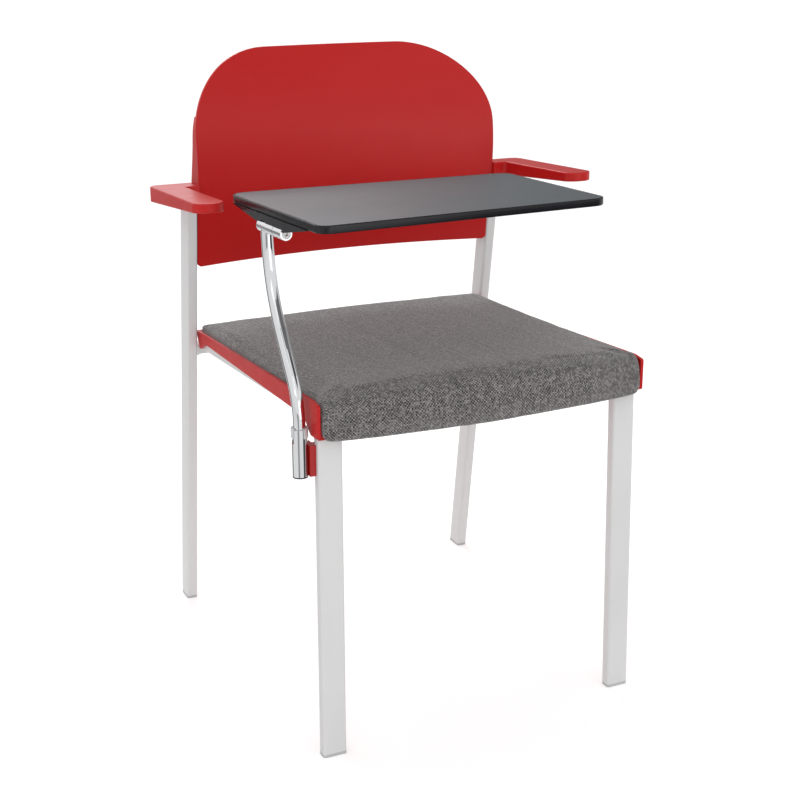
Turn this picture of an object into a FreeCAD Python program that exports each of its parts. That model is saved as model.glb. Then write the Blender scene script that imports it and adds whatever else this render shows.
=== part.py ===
import FreeCAD
import Part
import math
import os

Vector = FreeCAD.Vector

# Stacking conference chair with arms, an upholstered seat and a swing-away writing tablet.
# X runs across the chair, the sitter's right is on -X; the sitter faces -Y; Z is up.
# The origin is on the floor, in the middle of the whole chair's outline.

# Play between pieces
overrun = 5.0
touch_gap = 0.3
running_fit = 0.06
screw_fit = 0.15
quarter_turn_deg = 90.0

# Leg and rail tube, rounded rectangular
tube_wide = 30.0
tube_thin = 15.0
tube_wall = 1.5
tube_corner = 3.5

# Front legs: the wide side faces the front
front_foot_x = 199.3
front_foot_y = -220.6
front_top_x = 195.1
front_top_y = -211.9
rail_bend_radius = 25.0

# Rear legs: the thin side faces the front, and they rake forward as they rise
rear_leg_x = 223.7
rear_foot_y = 275.6
rear_rake_deg = 8.43
rear_leg_top = 617.0

# Feet
glide_height = 4.0
glide_plug = 18.0
glide_play = 0.1

# Seat rails and cross rails
seat_slope_deg = 3.3
rail_end_y = 202.3
rail_end_z = 402.3
cross_rail_deep = 25.0
cross_rail_high = 13.0
cross_rail_wall = 1.5
cross_rail_corner = 2.5
rear_cross_z = 395.5
front_cross_y = -150.0

# Seat shell
shell_wall = 4.0
shell_floor = 2.6
shell_lip_high = 11.9
shell_rear_y = 204.5
shell_hook_y = 211.5
shell_hook_foot_y = 198.6
shell_hook_toe = 5.4
shell_hook_high = 21.8
shell_front_wall = 2.6
shell_front_z = 401.0
flange_rear_y = 174.0
flange_rear_high = 12.6
flange_front_y = -187.0
flange_front_high = 24.2
flange_knee_y = -206.8
flange_knee_drop = 2.8
flange_knee_radius = 7.0
shell_nose_radius = 14.0
shell_cheek_radius = 3.0
cheek_front_reach = 6.2
cheek_foot_rise = 3.4
cheek_bend_y = -210.0
cheek_bend_radius = 30.0
cheek_nose_drop = 3.2

# Seat board and cushion
board_thick = 4.0
board_inset = 5.0
cushion_rear_z = 430.7
cushion_slope_deg = 2.9
cushion_side_play = 0.5
cushion_front_thick = 11.6
cushion_front_bulge = 4.4
cushion_crown = 3.0
cushion_nose_radius = 16.0
cushion_edge_radius = 3.0
cushion_foot_radius = 5.0
cushion_foot_dip = 5.0
cushion_foot_side = 11.0
cushion_foot_reach = 9.6
cushion_side_draw = 1.2
cushion_draw_reach = 3.6
cushion_side_steps = (0, 0.6, 1.2, 2.4, 3.6, 5.4, 7.4, 9.6)
cushion_station_shares = (0.667, 0.333)

# Back shell
back_low_z = 514.5
back_high_z = 792.0
back_panel = 4.0
back_rim_wall = 4.0
back_hollow = 28.0
back_corner_wide = 120.0
back_corner_high = 107.0
back_foot_radius = 6.0
back_height_shares = (0, 0.236, 0.4523, 0.6324, 0.8126, 1)
back_side_y = (184.3, 174.6, 165.9, 168.6, 183.5, 212.0)
back_rim_deep = (29.0, 29.0, 27.0, 14.0, 8.0, 7.0)
back_reach = 120.0

# Armrests
arm_rear_z = 624.9
arm_rear_y = 201.2
arm_slope_deg = 2.9
arm_rear_thick = 20.5
arm_front_thick = 11.7
arm_front_y = -10.2
arm_outer_x = 273.8
arm_wide = 38.8
arm_elbow_y = 162.4
arm_outer_radius = 14.0
arm_elbow_radius = 5.0
arm_nose_radius = 19.2
arm_edge_radius = 1.8

# Screws
screw_radius = 2.5
screw_head_radius = 5.0
screw_head_high = 2.6
socket_sides = 6
socket_share = 0.42
socket_depth_share = 0.55
back_screw_z = (545.0, 588.0)
back_screw_length = 13.0
seat_screw_y = (150.0, -120.0)
seat_screw_length = 20.5
arm_screw_length = 14.0
arm_screw_drop = 6.0
access_radius = 5.6

# Tablet bracket, pivot sleeve and its fittings, on the sitter's right front leg
pivot_x = 226.0
pivot_y = -203.2
sleeve_radius = 9.0
sleeve_bore = 8.0
sleeve_low_z = 356.0
sleeve_high_z = 412.0
collar_radius = 9.9
collar_high = 10.0
collar_wall = 1.4
collar_play = 0.24
collar_gap_end_deg = 281.0
collar_gap_deg = 76.0
bracket_low_z = 356.0
bracket_high_z = 392.5
bracket_front_y = -206.2
bracket_deep = 14.0
bracket_tab_wide = 24.0
bracket_tab_rear_y = -200.2
bracket_bolt_x = 194.5
bracket_bolt_z = (367.0, 383.0)
bracket_bolt_length = 9.0
bush_high = 30.0
cap_flange = 1.5
slot_low_z = 395.4
slot_high = 6.6
slot_start_deg = 203.0
stop_pin_radius = 2.0
stop_pin_deg = 184.0
stop_pin_reach = 8.6
swivel_range_deg = 45.0

# Tablet post
post_radius = 7.0
post_wall = 1.5
post_lean_deg = 35.9
post_low_bend = 90.0
post_high_bend = 185.4
post_low_z = 364.0

# Hinge on top of the post
hinge_tilt_deg = 2.5
hinge_y = -136.8
hinge_z = 625.9
knuckle_radius = 7.0
knuckle_bore = 3.6
post_knuckle_rear = 36.0
post_knuckle_front = -14.0
tablet_knuckle_front = -41.0
post_top_along = 20.4
post_top_drop = 2.5
washer_thick = 1.0
hinge_pin_radius = 3.54
hinge_pin_head = 4.9
hinge_pin_head_thick = 1.2
hinge_pin_recess = 2.0
hinge_pin_dimple = 2.4
hinge_pin_dimple_deep = 2.0
leaf_thick = 2.5
leaf_wide = 30.0
leaf_screw_x = (12.0, 23.0)
leaf_screw_length = 16.0

# Writing tablet, measured from the hinge line
tablet_left = -3.2
tablet_right = 359.8
tablet_half_left = 145.9
tablet_half_right = 129.6
tablet_rake = 5.8
tablet_middle = -4.0
tablet_corner = 20.0
tablet_near_corner = 14.0
tablet_top = 23.7
tablet_thick = 8.8
laminate_thick = 0.8
edge_band_wide = 2.0
edge_round = 1.2

# Casing under the tablet's hinge side
casing_wide = 42.0
casing_ledge = 1.6
casing_rear = 120.0
casing_front = -114.0
casing_end_high = 0.8
casing_keel_high = 12.5
casing_keel_rear = 38.0
casing_keel_rear_high = 10.8
casing_keel_front = -44.0
casing_keel_middle = 2.0
casing_play = 0.4
casing_screw_radius = 1.25
casing_screw_head = 3.3
casing_screw_head_high = 2.0
casing_screw_grip = 3.0
casing_screw_length = 9.0
casing_screw_x = 28.0
casing_screw_y = (70.0, -78.0)


def slope(degrees):
    return math.tan(math.radians(degrees))


seat_rise = slope(seat_slope_deg)
rear_rake = slope(rear_rake_deg)
back_half = rear_leg_x - tube_thin / 2 - touch_gap
rail_x = front_top_x
shell_inner_half = rail_x + tube_wide / 2 + touch_gap
shell_half = shell_inner_half + shell_wall
rail_half_drop = tube_thin / 2 / math.cos(math.radians(seat_slope_deg))
rear_foot_back = rear_foot_y + tube_wide / 2


def rail_middle_z(y):
    return rail_end_z + (rail_end_y - y) * seat_rise


def rail_top_z(y):
    return rail_middle_z(y) + rail_half_drop


def floor_top_z(y):
    return rail_top_z(y) + shell_floor


def lip_z(y):
    return rail_top_z(y) + shell_lip_high


def hook_z():
    return lip_z(shell_hook_y) - shell_hook_high


def board_top_z(y):
    return floor_top_z(y) + board_thick


def rear_leg_y(z):
    return rear_foot_y - z * rear_rake


def front_leg_at(z):
    share = z / rail_bend_start()
    x = front_foot_x + (front_top_x - front_foot_x) * share
    y = front_foot_y + (front_top_y - front_foot_y) * share
    return Vector(x, y, z)


def rail_bend_start():
    bend_y = front_top_y + rail_bend_radius
    turn = math.radians(seat_slope_deg)
    end_y = bend_y + rail_bend_radius * math.sin(turn)
    return rail_middle_z(end_y) - rail_bend_radius * math.cos(turn)


def save(name, shape):
    shape.translate(Vector(0, -centre_y, 0))
    shape.exportStep(os.path.join("parts", name + ".step"))


def compound(shapes):
    return Part.makeCompound(shapes)


def mirrored(shape):
    return shape.mirror(Vector(0, 0, 0), Vector(1, 0, 0))


def both_sides(name, shape, right_cuts=None):
    # The shape is given for the sitter's left, on +X
    other = mirrored(shape)
    if right_cuts is not None:
        other = other.cut(right_cuts)
    save(name + "_left", shape)
    save(name + "_right", other)


def outline(corners):
    # A closed wire through corners (point, radius), with a tangent arc at each radius
    edges = []
    starts = []
    ends = []
    mids = []
    count = len(corners)
    for index in range(count):
        before = corners[index - 1][0]
        point, radius = corners[index]
        after = corners[(index + 1) % count][0]
        to_before = (before - point).normalize()
        to_after = (after - point).normalize()
        half = to_before.getAngle(to_after) / 2
        if radius <= 0:
            starts.append(point)
            ends.append(point)
            mids.append(None)
            continue
        reach = radius / math.tan(half)
        starts.append(point + to_before * reach)
        ends.append(point + to_after * reach)
        middle = (to_before + to_after).normalize()
        mids.append(point + middle * (radius / math.sin(half) - radius))
    for index in range(count):
        if mids[index] is not None:
            edges.append(Part.Arc(starts[index], mids[index], ends[index]).toShape())
        following = (index + 1) % count
        edges.append(Part.LineSegment(ends[index], starts[following]).toShape())
    return Part.Wire(edges)


def tube_corners(centre, across, along, wide, deep, corner):
    # The four corners of a rounded rectangle about a centre, in the plane of two directions
    points = []
    for side, end in ((1, 1), (-1, 1), (-1, -1), (1, -1)):
        point = centre + across * (side * wide / 2) + along * (end * deep / 2)
        points.append((point, corner))
    return points


def tube_face(centre, across, along, wide, deep, corner, wall=0):
    outer = outline(tube_corners(centre, across, along, wide, deep, corner))
    if wall == 0:
        return Part.Face(outer)
    hole_wide = wide - 2 * wall
    hole_deep = deep - 2 * wall
    inner = outline(tube_corners(centre, across, along, hole_wide, hole_deep, corner - wall))
    return Part.Face(outer).cut(Part.Face(inner)).Faces[0]


def rod(start, direction, length, radius):
    return Part.makeCylinder(radius, length, start, direction)


def screw(place, direction, length,
          radius=screw_radius, head=screw_head_radius, head_high=screw_head_high):
    # Head on the near side of its place, shank along the direction, hexagon socket in the head
    unit = Vector(direction).normalize()
    shank = rod(place, unit, length, radius)
    cap = rod(place - unit * head_high, unit, head_high, head)
    tip = place - unit * head_high
    size = head * socket_share
    points = []
    for corner in range(socket_sides):
        angle = corner * 2 * math.pi / socket_sides
        points.append((Vector(size * math.cos(angle), size * math.sin(angle), 0), 0))
    socket = Part.Face(outline(points)).extrude(Vector(0, 0, overrun + head_high * socket_depth_share))
    socket.translate(Vector(0, 0, -overrun))
    socket.Placement = FreeCAD.Placement(tip, FreeCAD.Rotation(Vector(0, 0, 1), unit)) * socket.Placement
    return shank.fuse(cap).removeSplitter().cut(socket)


def side_profile(corners, x_low, x_high):
    # A prism across the chair from corners given as (y, z, radius)
    points = [(Vector(x_low, y, z), radius) for y, z, radius in corners]
    return Part.Face(outline(points)).extrude(Vector(x_high - x_low, 0, 0))


def front_leg():
    top = front_leg_at(rail_bend_start())
    low = front_leg_at(glide_height)
    face = tube_face(low, Vector(1, 0, 0), Vector(0, 1, 0), tube_wide, tube_thin, tube_corner, tube_wall)
    return face.extrude(top - low)


def rear_leg():
    low = Vector(rear_leg_x, rear_leg_y(glide_height), glide_height)
    top = Vector(rear_leg_x, rear_leg_y(rear_leg_top), rear_leg_top)
    face = tube_face(low, Vector(1, 0, 0), Vector(0, 1, 0), tube_thin, tube_wide, tube_corner, tube_wall)
    leg = face.extrude(top - low)
    return leg.cut([back_screw_holes(), arm_screw_hole(), arm_screw_access()])


def glide(foot, top, wide, deep):
    # A plastic foot the size of the tube, with a plug that stands inside it
    across = Vector(1, 0, 0)
    along = Vector(0, 1, 0)
    lean = (top - foot) * (1 / (top.z - foot.z))
    pad = Part.Face(outline(tube_corners(foot, across, along, wide, deep, tube_corner)))
    pad = pad.extrude(lean * glide_height)
    inner = tube_wall + glide_play
    start = foot + lean * glide_height
    plug_corner = tube_corner - tube_wall
    corners = tube_corners(start, across, along, wide - 2 * inner, deep - 2 * inner, plug_corner)
    plug = Part.Face(outline(corners)).extrude(lean * glide_plug)
    return pad.fuse(plug).removeSplitter()


def side_rail():
    # The front leg's tube bends back here and runs under the seat to the rear cross rail
    bend_z = rail_bend_start()
    bend_y = front_top_y + rail_bend_radius
    start = Vector(rail_x, front_top_y, bend_z)
    across = Vector(1, 0, 0)
    face = tube_face(start, across, Vector(0, 1, 0), tube_wide, tube_thin, tube_corner, tube_wall)
    turn = quarter_turn_deg + seat_slope_deg
    bend = face.revolve(Vector(rail_x, bend_y, bend_z), Vector(-1, 0, 0), turn)
    tilt = math.radians(seat_slope_deg)
    run = Vector(0, math.cos(tilt), -math.sin(tilt))
    rise = Vector(0, math.sin(tilt), math.cos(tilt))
    end = Vector(rail_x, bend_y, bend_z) + rise * rail_bend_radius
    end_face = tube_face(end, across, rise, tube_wide, tube_thin, tube_corner, tube_wall)
    length = (rail_end_y - end.y + tube_thin) / run.y
    rail = end_face.extrude(run * length)
    beyond = Part.makeBox(
        tube_wide + 2 * overrun, tube_wide + overrun, tube_wide + 2 * tube_thin,
        Vector(rail_x - tube_wide / 2 - overrun, rail_end_y, rail_end_z - tube_wide))
    whole = bend.fuse(rail.cut(beyond)).removeSplitter()
    return whole.cut(seat_screw_holes(1))


def seat_normal():
    tilt = math.radians(seat_slope_deg)
    return Vector(0, math.sin(tilt), math.cos(tilt))


def seat_screw_place(side, y):
    below = rail_middle_z(y) - rail_half_drop
    return Vector(side * rail_x, y, below)


def seat_screw_holes(side):
    holes = []
    for y in seat_screw_y:
        start = seat_screw_place(side, y) - seat_normal() * overrun
        holes.append(rod(start, seat_normal(), seat_screw_length + overrun + touch_gap,
                         screw_radius + screw_fit))
    return compound(holes)


def seat_screws():
    pieces = []
    for side in (1, -1):
        for y in seat_screw_y:
            pieces.append(screw(seat_screw_place(side, y), seat_normal(), seat_screw_length))
    return compound(pieces)


def cross_rail(y, z, half_length):
    start = Vector(-half_length, y, z)
    face = tube_face(start, Vector(0, 1, 0), Vector(0, 0, 1), cross_rail_deep, cross_rail_high,
                     cross_rail_corner, cross_rail_wall)
    return face.extrude(Vector(2 * half_length, 0, 0))


def rear_cross_rail():
    y = rail_end_y + cross_rail_deep / 2
    return cross_rail(y, rear_cross_z, rear_leg_x - tube_thin / 2)


def front_cross_rail():
    return cross_rail(front_cross_y, rail_middle_z(front_cross_y), rail_x - tube_wide / 2)


def shell_front_y():
    return front_top_y - tube_thin / 2 - touch_gap - shell_front_wall


def shell_cheek(x_low, x_high):
    # The side wall reaches past the tray's front wall and shields the pad's front corner
    front = shell_front_y() - cheek_front_reach
    corners = [
        (shell_hook_y, lip_z(shell_hook_y), 0),
        (shell_hook_foot_y, hook_z(), 0),
        (shell_hook_foot_y - shell_hook_toe, hook_z(), 0),
        (flange_rear_y, lip_z(flange_rear_y) - flange_rear_high, 0),
        (flange_front_y, lip_z(flange_front_y) - flange_front_high, flange_knee_radius),
        (flange_knee_y, shell_front_z + flange_knee_drop, flange_knee_radius),
        (front, shell_front_z + cheek_foot_rise, shell_cheek_radius),
        (front, lip_z(front) - cheek_nose_drop, shell_cheek_radius),
        (cheek_bend_y, lip_z(cheek_bend_y), cheek_bend_radius),
    ]
    return side_profile(corners, x_low, x_high)


def shell_tray(half):
    front = shell_front_y()
    inner_front = front + shell_front_wall
    nose = shell_nose_radius
    corners = [
        (shell_rear_y, floor_top_z(shell_rear_y), 0),
        (front, floor_top_z(front), nose),
        (front, shell_front_z, 0),
        (inner_front, shell_front_z, 0),
        (inner_front, rail_top_z(inner_front), nose - shell_front_wall),
        (shell_rear_y, rail_top_z(shell_rear_y), 0),
    ]
    return side_profile(corners, -half, half)


def shell_rear_skirt(half):
    corners = [
        (shell_hook_y, lip_z(shell_hook_y), 0),
        (shell_hook_foot_y, hook_z(), 0),
        (shell_hook_foot_y - shell_hook_toe, hook_z(), 0),
        (shell_rear_y - shell_hook_toe, rail_top_z(shell_rear_y), 0),
        (shell_rear_y, floor_top_z(shell_rear_y), 0),
        (shell_rear_y, lip_z(shell_rear_y), 0),
    ]
    return side_profile(corners, -half, half)


def seat_shell():
    tray = shell_tray(shell_inner_half)
    skirt = shell_rear_skirt(shell_inner_half)
    left = shell_cheek(shell_inner_half, shell_half)
    shell = tray.fuse([skirt, left, mirrored(left)]).removeSplitter()
    notch_low = rail_x - tube_wide / 2 - touch_gap
    notch_front = flange_rear_y - overrun
    notch_rear = shell_hook_y + overrun
    corners = [
        (notch_front, rail_top_z(notch_front), 0),
        (notch_rear, rail_top_z(notch_rear), 0),
        (notch_rear, hook_z() - overrun, 0),
        (notch_front, hook_z() - overrun, 0),
    ]
    notch = side_profile(corners, notch_low, shell_inner_half)
    shell = shell.cut([notch, mirrored(notch)])
    return shell.cut([seat_screw_holes(1), seat_screw_holes(-1)])


def seat_board():
    half = shell_inner_half - board_inset
    rear = shell_rear_y - board_inset
    front = shell_front_y() + shell_nose_radius + board_inset
    corners = [
        (rear, floor_top_z(rear), 0),
        (rear, board_top_z(rear), 0),
        (front, board_top_z(front), 0),
        (front, floor_top_z(front), 0),
    ]
    board = side_profile(corners, -half, half)
    return board.cut([seat_screw_holes(1), seat_screw_holes(-1)])


def cushion_section(x, half):
    # Side view of the pad at one station; it thins and draws in towards its sides
    share = min(1, abs(x) / half)
    crown = cushion_crown * (1 - share ** 2)
    bulge = cushion_front_bulge * (1 - share ** 2)
    from_side = half - abs(x)
    edge = max(0, 1 - from_side / cushion_draw_reach)
    draw = cushion_side_draw * (1 - math.sqrt(max(0, 1 - edge ** 2)))
    corner = max(0, 1 - from_side / cushion_foot_reach)
    rise = slope(cushion_slope_deg)
    rear = shell_rear_y - cushion_side_play - draw / 2
    front_inner = shell_front_y() - touch_gap
    front = front_inner - cushion_front_thick - bulge + draw
    foot = shell_front_z - touch_gap - cushion_foot_dip * (1 - share ** 2)
    foot += cushion_foot_side * corner ** 2
    top_rear = cushion_rear_z + crown - draw + (shell_rear_y - rear) * rise
    top_front = cushion_rear_z + crown - draw + (shell_rear_y - front) * rise
    nose = cushion_nose_radius
    corners = [
        (rear, board_top_z(rear), 0),
        (rear, top_rear, cushion_edge_radius),
        (front, top_front, nose),
        (front, foot, cushion_foot_radius),
        (front_inner, foot, 0),
        (front_inner, board_top_z(front_inner), nose - touch_gap),
    ]
    points = [(Vector(x, y, z), radius) for y, z, radius in corners]
    return outline(points)


def seat_cushion():
    half = shell_inner_half - cushion_side_play
    places = [half - step for step in cushion_side_steps]
    places += [half * share for share in cushion_station_shares]
    stations = [-place for place in places] + [0] + places[::-1]
    sections = [cushion_section(x, half) for x in stations]
    return Part.makeLoft(sections, True, True)


def back_section(y, z, deep):
    # Plan of the back at one height: a hollow front, a thin panel and a rim turned back at each side
    half = back_half
    inner = half - back_rim_wall
    radius = (half ** 2 + back_hollow ** 2) / (2 * back_hollow)
    centre_y = y + back_hollow - radius
    inner_y = centre_y + math.sqrt((radius + back_panel) ** 2 - inner ** 2)
    front_arc = Part.Arc(Vector(-half, y, z), Vector(0, y + back_hollow, z), Vector(half, y, z))
    rear_middle = Vector(0, y + back_hollow + back_panel, z)
    rear_arc = Part.Arc(Vector(inner, inner_y, z), rear_middle, Vector(-inner, inner_y, z))
    corners = [Vector(half, y, z), Vector(half, y + deep, z), Vector(inner, y + deep, z),
               Vector(inner, inner_y, z)]
    edges = [front_arc.toShape()]
    for start, end in zip(corners, corners[1:]):
        edges.append(Part.LineSegment(start, end).toShape())
    edges.append(rear_arc.toShape())
    others = [Vector(-corner.x, corner.y, corner.z) for corner in corners[::-1]]
    for start, end in zip(others, others[1:]):
        edges.append(Part.LineSegment(start, end).toShape())
    return Part.Wire(edges)


def back_screw_places():
    # Head face inside the rim, one pair of heights on each side
    places = []
    for z in back_screw_z:
        places.append(Vector(back_half - back_rim_wall, rear_leg_y(z), z))
    return places


def back_screw_holes():
    holes = []
    for place in back_screw_places():
        start = place - Vector(overrun, 0, 0)
        holes.append(rod(start, Vector(1, 0, 0), back_screw_length + overrun + touch_gap,
                         screw_radius + screw_fit))
    return compound(holes)


def back_front_outline(y):
    # Front view of the back: small corners below, broad elliptical corners above
    shoulder_x = back_half - back_corner_wide
    shoulder_z = back_high_z - back_corner_high
    foot = back_foot_radius
    bow = foot - foot * math.sqrt(0.5)
    edges = []
    for side in (1, -1):
        centre = Vector(side * shoulder_x, y, shoulder_z)
        wide_end = centre + Vector(side * back_corner_wide, 0, 0)
        top_end = centre + Vector(0, 0, back_corner_high)
        curve = Part.Ellipse(wide_end, top_end, centre)
        ends = sorted((curve.parameter(wide_end), curve.parameter(top_end)))
        if ends[1] - ends[0] > math.pi:
            ends = [ends[1] - 2 * math.pi, ends[0]]
        edges.append(Part.ArcOfEllipse(curve, ends[0], ends[1]).toShape())
        low_end = Vector(side * back_half, y, back_low_z + foot)
        low_middle = Vector(side * (back_half - bow), y, back_low_z + bow)
        low_start = Vector(side * (back_half - foot), y, back_low_z)
        edges.append(Part.LineSegment(wide_end, low_end).toShape())
        edges.append(Part.Arc(low_end, low_middle, low_start).toShape())
    left = Vector(-shoulder_x, y, back_high_z)
    right = Vector(shoulder_x, y, back_high_z)
    edges.append(Part.LineSegment(left, right).toShape())
    left = Vector(foot - back_half, y, back_low_z)
    right = Vector(back_half - foot, y, back_low_z)
    edges.append(Part.LineSegment(left, right).toShape())
    return Part.Wire(Part.__sortEdges__(edges))


def back_shell():
    sections = []
    for y, share, deep in zip(back_side_y, back_height_shares, back_rim_deep):
        z = back_low_z + (back_high_z - back_low_z) * share
        sections.append(back_section(y, z, deep))
    shell = Part.makeLoft(sections, True, False)
    front = min(back_side_y) - overrun
    frame = Part.Face(outline([
        (Vector(-back_half - overrun, front, back_low_z - overrun), 0),
        (Vector(back_half + overrun, front, back_low_z - overrun), 0),
        (Vector(back_half + overrun, front, back_high_z + overrun), 0),
        (Vector(-back_half - overrun, front, back_high_z + overrun), 0),
    ]))
    waste = frame.cut(Part.Face(back_front_outline(front)))
    shell = shell.cut(waste.extrude(Vector(0, back_reach, 0)))
    holes = back_screw_holes()
    return shell.cut([holes, mirrored(holes)])


def back_screws():
    pieces = []
    for place in back_screw_places():
        piece = screw(place, Vector(1, 0, 0), back_screw_length)
        pieces.append(piece)
        pieces.append(mirrored(piece))
    return compound(pieces)


def arm_top_z(y):
    return arm_rear_z + (arm_rear_y - y) * slope(arm_slope_deg)


def arm_plan():
    # Plan of the sitter's left arm, rear corner first, from behind the back's rim
    inner = rear_leg_x - tube_thin / 2
    elbow_x = arm_outer_x - arm_wide
    return [
        (Vector(inner, arm_rear_y, 0), 0),
        (Vector(inner, arm_elbow_y, 0), 0),
        (Vector(elbow_x, arm_elbow_y, 0), arm_elbow_radius),
        (Vector(elbow_x, arm_front_y, 0), arm_nose_radius),
        (Vector(arm_outer_x, arm_front_y, 0), arm_nose_radius),
        (Vector(arm_outer_x, arm_rear_y, 0), arm_outer_radius),
    ]


def armrest():
    rear = arm_rear_y + overrun
    front = arm_front_y - arm_nose_radius
    fall = (arm_rear_thick - arm_front_thick) / (arm_rear_y - arm_front_y)

    def under_z(y):
        return arm_top_z(y) - arm_rear_thick + (arm_rear_y - y) * fall

    corners = [
        (rear, arm_top_z(rear), 0),
        (front, arm_top_z(front), 0),
        (front, under_z(front), 0),
        (rear, under_z(rear), 0),
    ]
    wedge = side_profile(corners, rear_leg_x - tube_wide, arm_outer_x + overrun)
    plan = Part.Face(outline(arm_plan()))
    plan.translate(Vector(0, 0, under_z(rear) - overrun))
    height = arm_top_z(front) - under_z(rear) + 2 * overrun
    arm = plan.extrude(Vector(0, 0, height)).common(wedge)
    arm = arm.makeFillet(arm_edge_radius, arm_rims(arm))
    low = Vector(rear_leg_x, rear_leg_y(back_low_z), back_low_z)
    top_z = rear_leg_top + touch_gap
    top = Vector(rear_leg_x, rear_leg_y(top_z), top_z)
    thin = tube_thin + 2 * screw_fit
    wide = tube_wide + 2 * screw_fit
    face = tube_face(low, Vector(1, 0, 0), Vector(0, 1, 0), thin, wide, tube_corner)
    arm = arm.cut(face.extrude(top - low))
    return arm.cut(arm_screw_hole())


def arm_rims(arm):
    # The long edges round the top and the underside, without the face that meets the leg's inner side
    inner = rear_leg_x - tube_thin / 2
    rims = []
    for edge in arm.Edges:
        box = edge.BoundBox
        upright = box.ZLength > arm_front_thick - touch_gap
        on_joint = box.XMax < inner + touch_gap
        if not upright and not on_joint:
            rims.append(edge)
    return rims


def arm_screw_place():
    # Head face on the inside of the rear leg's outer wall
    z = rear_leg_top - arm_screw_drop
    return Vector(rear_leg_x + tube_thin / 2 - tube_wall, rear_leg_y(z), z)


def arm_screw_hole():
    start = arm_screw_place() - Vector(overrun, 0, 0)
    return rod(start, Vector(1, 0, 0), overrun + arm_screw_length + touch_gap, screw_radius + screw_fit)


def arm_screw_access():
    # The head and the driver reach the screw through the leg's inner wall
    start = arm_screw_place() - Vector(tube_thin + overrun, 0, 0)
    return rod(start, Vector(1, 0, 0), tube_thin, access_radius)


def arm_screws():
    piece = screw(arm_screw_place(), Vector(1, 0, 0), arm_screw_length)
    return compound([piece, mirrored(piece)])


def pivot_point(z):
    return Vector(-pivot_x, pivot_y, z)


def slot_cutter(low_z, high, start_deg, sweep_deg, radius):
    # A wedge of a ring that opens a slot through a tube wall; angles run clockwise from above
    piece = Part.makeCylinder(radius, high, pivot_point(low_z), Vector(0, 0, 1), sweep_deg)
    piece.rotate(pivot_point(low_z), Vector(0, 0, 1), start_deg - sweep_deg)
    return piece


def pivot_sleeve():
    height = sleeve_high_z - sleeve_low_z
    sleeve = rod(pivot_point(sleeve_low_z), Vector(0, 0, 1), height, sleeve_radius)
    bore = rod(pivot_point(sleeve_low_z - overrun), Vector(0, 0, 1), height + 2 * overrun, sleeve_bore)
    sleeve = sleeve.cut(bore)
    room = slot_start_deg - stop_pin_deg
    sweep = swivel_range_deg + 2 * room
    slot = slot_cutter(slot_low_z, slot_high, slot_start_deg, sweep, sleeve_radius + overrun)
    return sleeve.cut(slot)


def sleeve_collar():
    # A clip round the sleeve's upper end, open towards the front, with a lip over its rim
    low = sleeve_high_z - collar_high
    ring = rod(pivot_point(low), Vector(0, 0, 1), collar_high + collar_wall, collar_radius)
    room = rod(pivot_point(low - overrun), Vector(0, 0, 1), collar_high + overrun, sleeve_radius)
    bore = rod(pivot_point(low), Vector(0, 0, 1), collar_high + overrun, post_radius + collar_play)
    gap_high = collar_high + overrun
    gap = slot_cutter(low, gap_high, collar_gap_end_deg, collar_gap_deg, collar_radius + overrun)
    return ring.cut([room, bore, gap])


def pivot_bush(low_z, high):
    bush = rod(pivot_point(low_z), Vector(0, 0, 1), high, sleeve_bore)
    bore = rod(pivot_point(low_z - overrun), Vector(0, 0, 1), high + 2 * overrun,
               post_radius + running_fit)
    return bush.cut(bore)


def lower_bush():
    return pivot_bush(post_low_z, bush_high)


def upper_bush():
    low = slot_low_z + slot_high
    return pivot_bush(low, sleeve_high_z - low)


def sleeve_cap():
    flange = rod(pivot_point(sleeve_low_z - cap_flange), Vector(0, 0, 1), cap_flange, sleeve_radius)
    plug_high = post_low_z - sleeve_low_z
    plug = rod(pivot_point(sleeve_low_z), Vector(0, 0, 1), plug_high, sleeve_bore)
    return flange.fuse(plug).removeSplitter()


def leg_envelope():
    # The right front leg and its bend as full bars, to shape what fits against them
    bend_z = rail_bend_start()
    low = front_leg_at(glide_height)
    top = front_leg_at(bend_z)
    face = tube_face(low, Vector(1, 0, 0), Vector(0, 1, 0), tube_wide, tube_thin, tube_corner)
    leg = face.extrude(top - low)
    face = tube_face(top, Vector(1, 0, 0), Vector(0, 1, 0), tube_wide, tube_thin, tube_corner)
    bend = face.revolve(top + Vector(0, rail_bend_radius, 0), Vector(-1, 0, 0), seat_slope_deg)
    return mirrored(leg.fuse(bend))


def tablet_bracket():
    # A block beside the leg that holds the sleeve, with a tab bolted to the back of the leg
    high = bracket_high_z - bracket_low_z
    face_x = front_foot_x + tube_wide / 2
    block = Part.makeBox(
        pivot_x - face_x + tube_corner, bracket_deep, high,
        Vector(-pivot_x, bracket_front_y, bracket_low_z))
    tab_front = front_foot_y + tube_thin / 2
    tab = Part.makeBox(
        bracket_tab_wide + tube_corner, bracket_tab_rear_y - tab_front, high,
        Vector(-face_x - tube_corner, tab_front, bracket_low_z))
    bore = rod(pivot_point(bracket_low_z - overrun), Vector(0, 0, 1), high + 2 * overrun, sleeve_radius)
    bracket = block.fuse(tab).cut([leg_envelope(), bore])
    return bracket.removeSplitter().cut(bracket_bolt_holes())


def bracket_bolt_place(z):
    return Vector(-bracket_bolt_x, bracket_tab_rear_y, z)


def bracket_bolt_holes():
    holes = []
    for z in bracket_bolt_z:
        start = bracket_bolt_place(z) + Vector(0, overrun, 0)
        holes.append(rod(start, Vector(0, -1, 0), bracket_bolt_length + overrun + touch_gap,
                         screw_radius + screw_fit))
    return compound(holes)


def bracket_bolts():
    pieces = []
    for z in bracket_bolt_z:
        pieces.append(screw(bracket_bolt_place(z), Vector(0, -1, 0), bracket_bolt_length))
    return compound(pieces)


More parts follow.
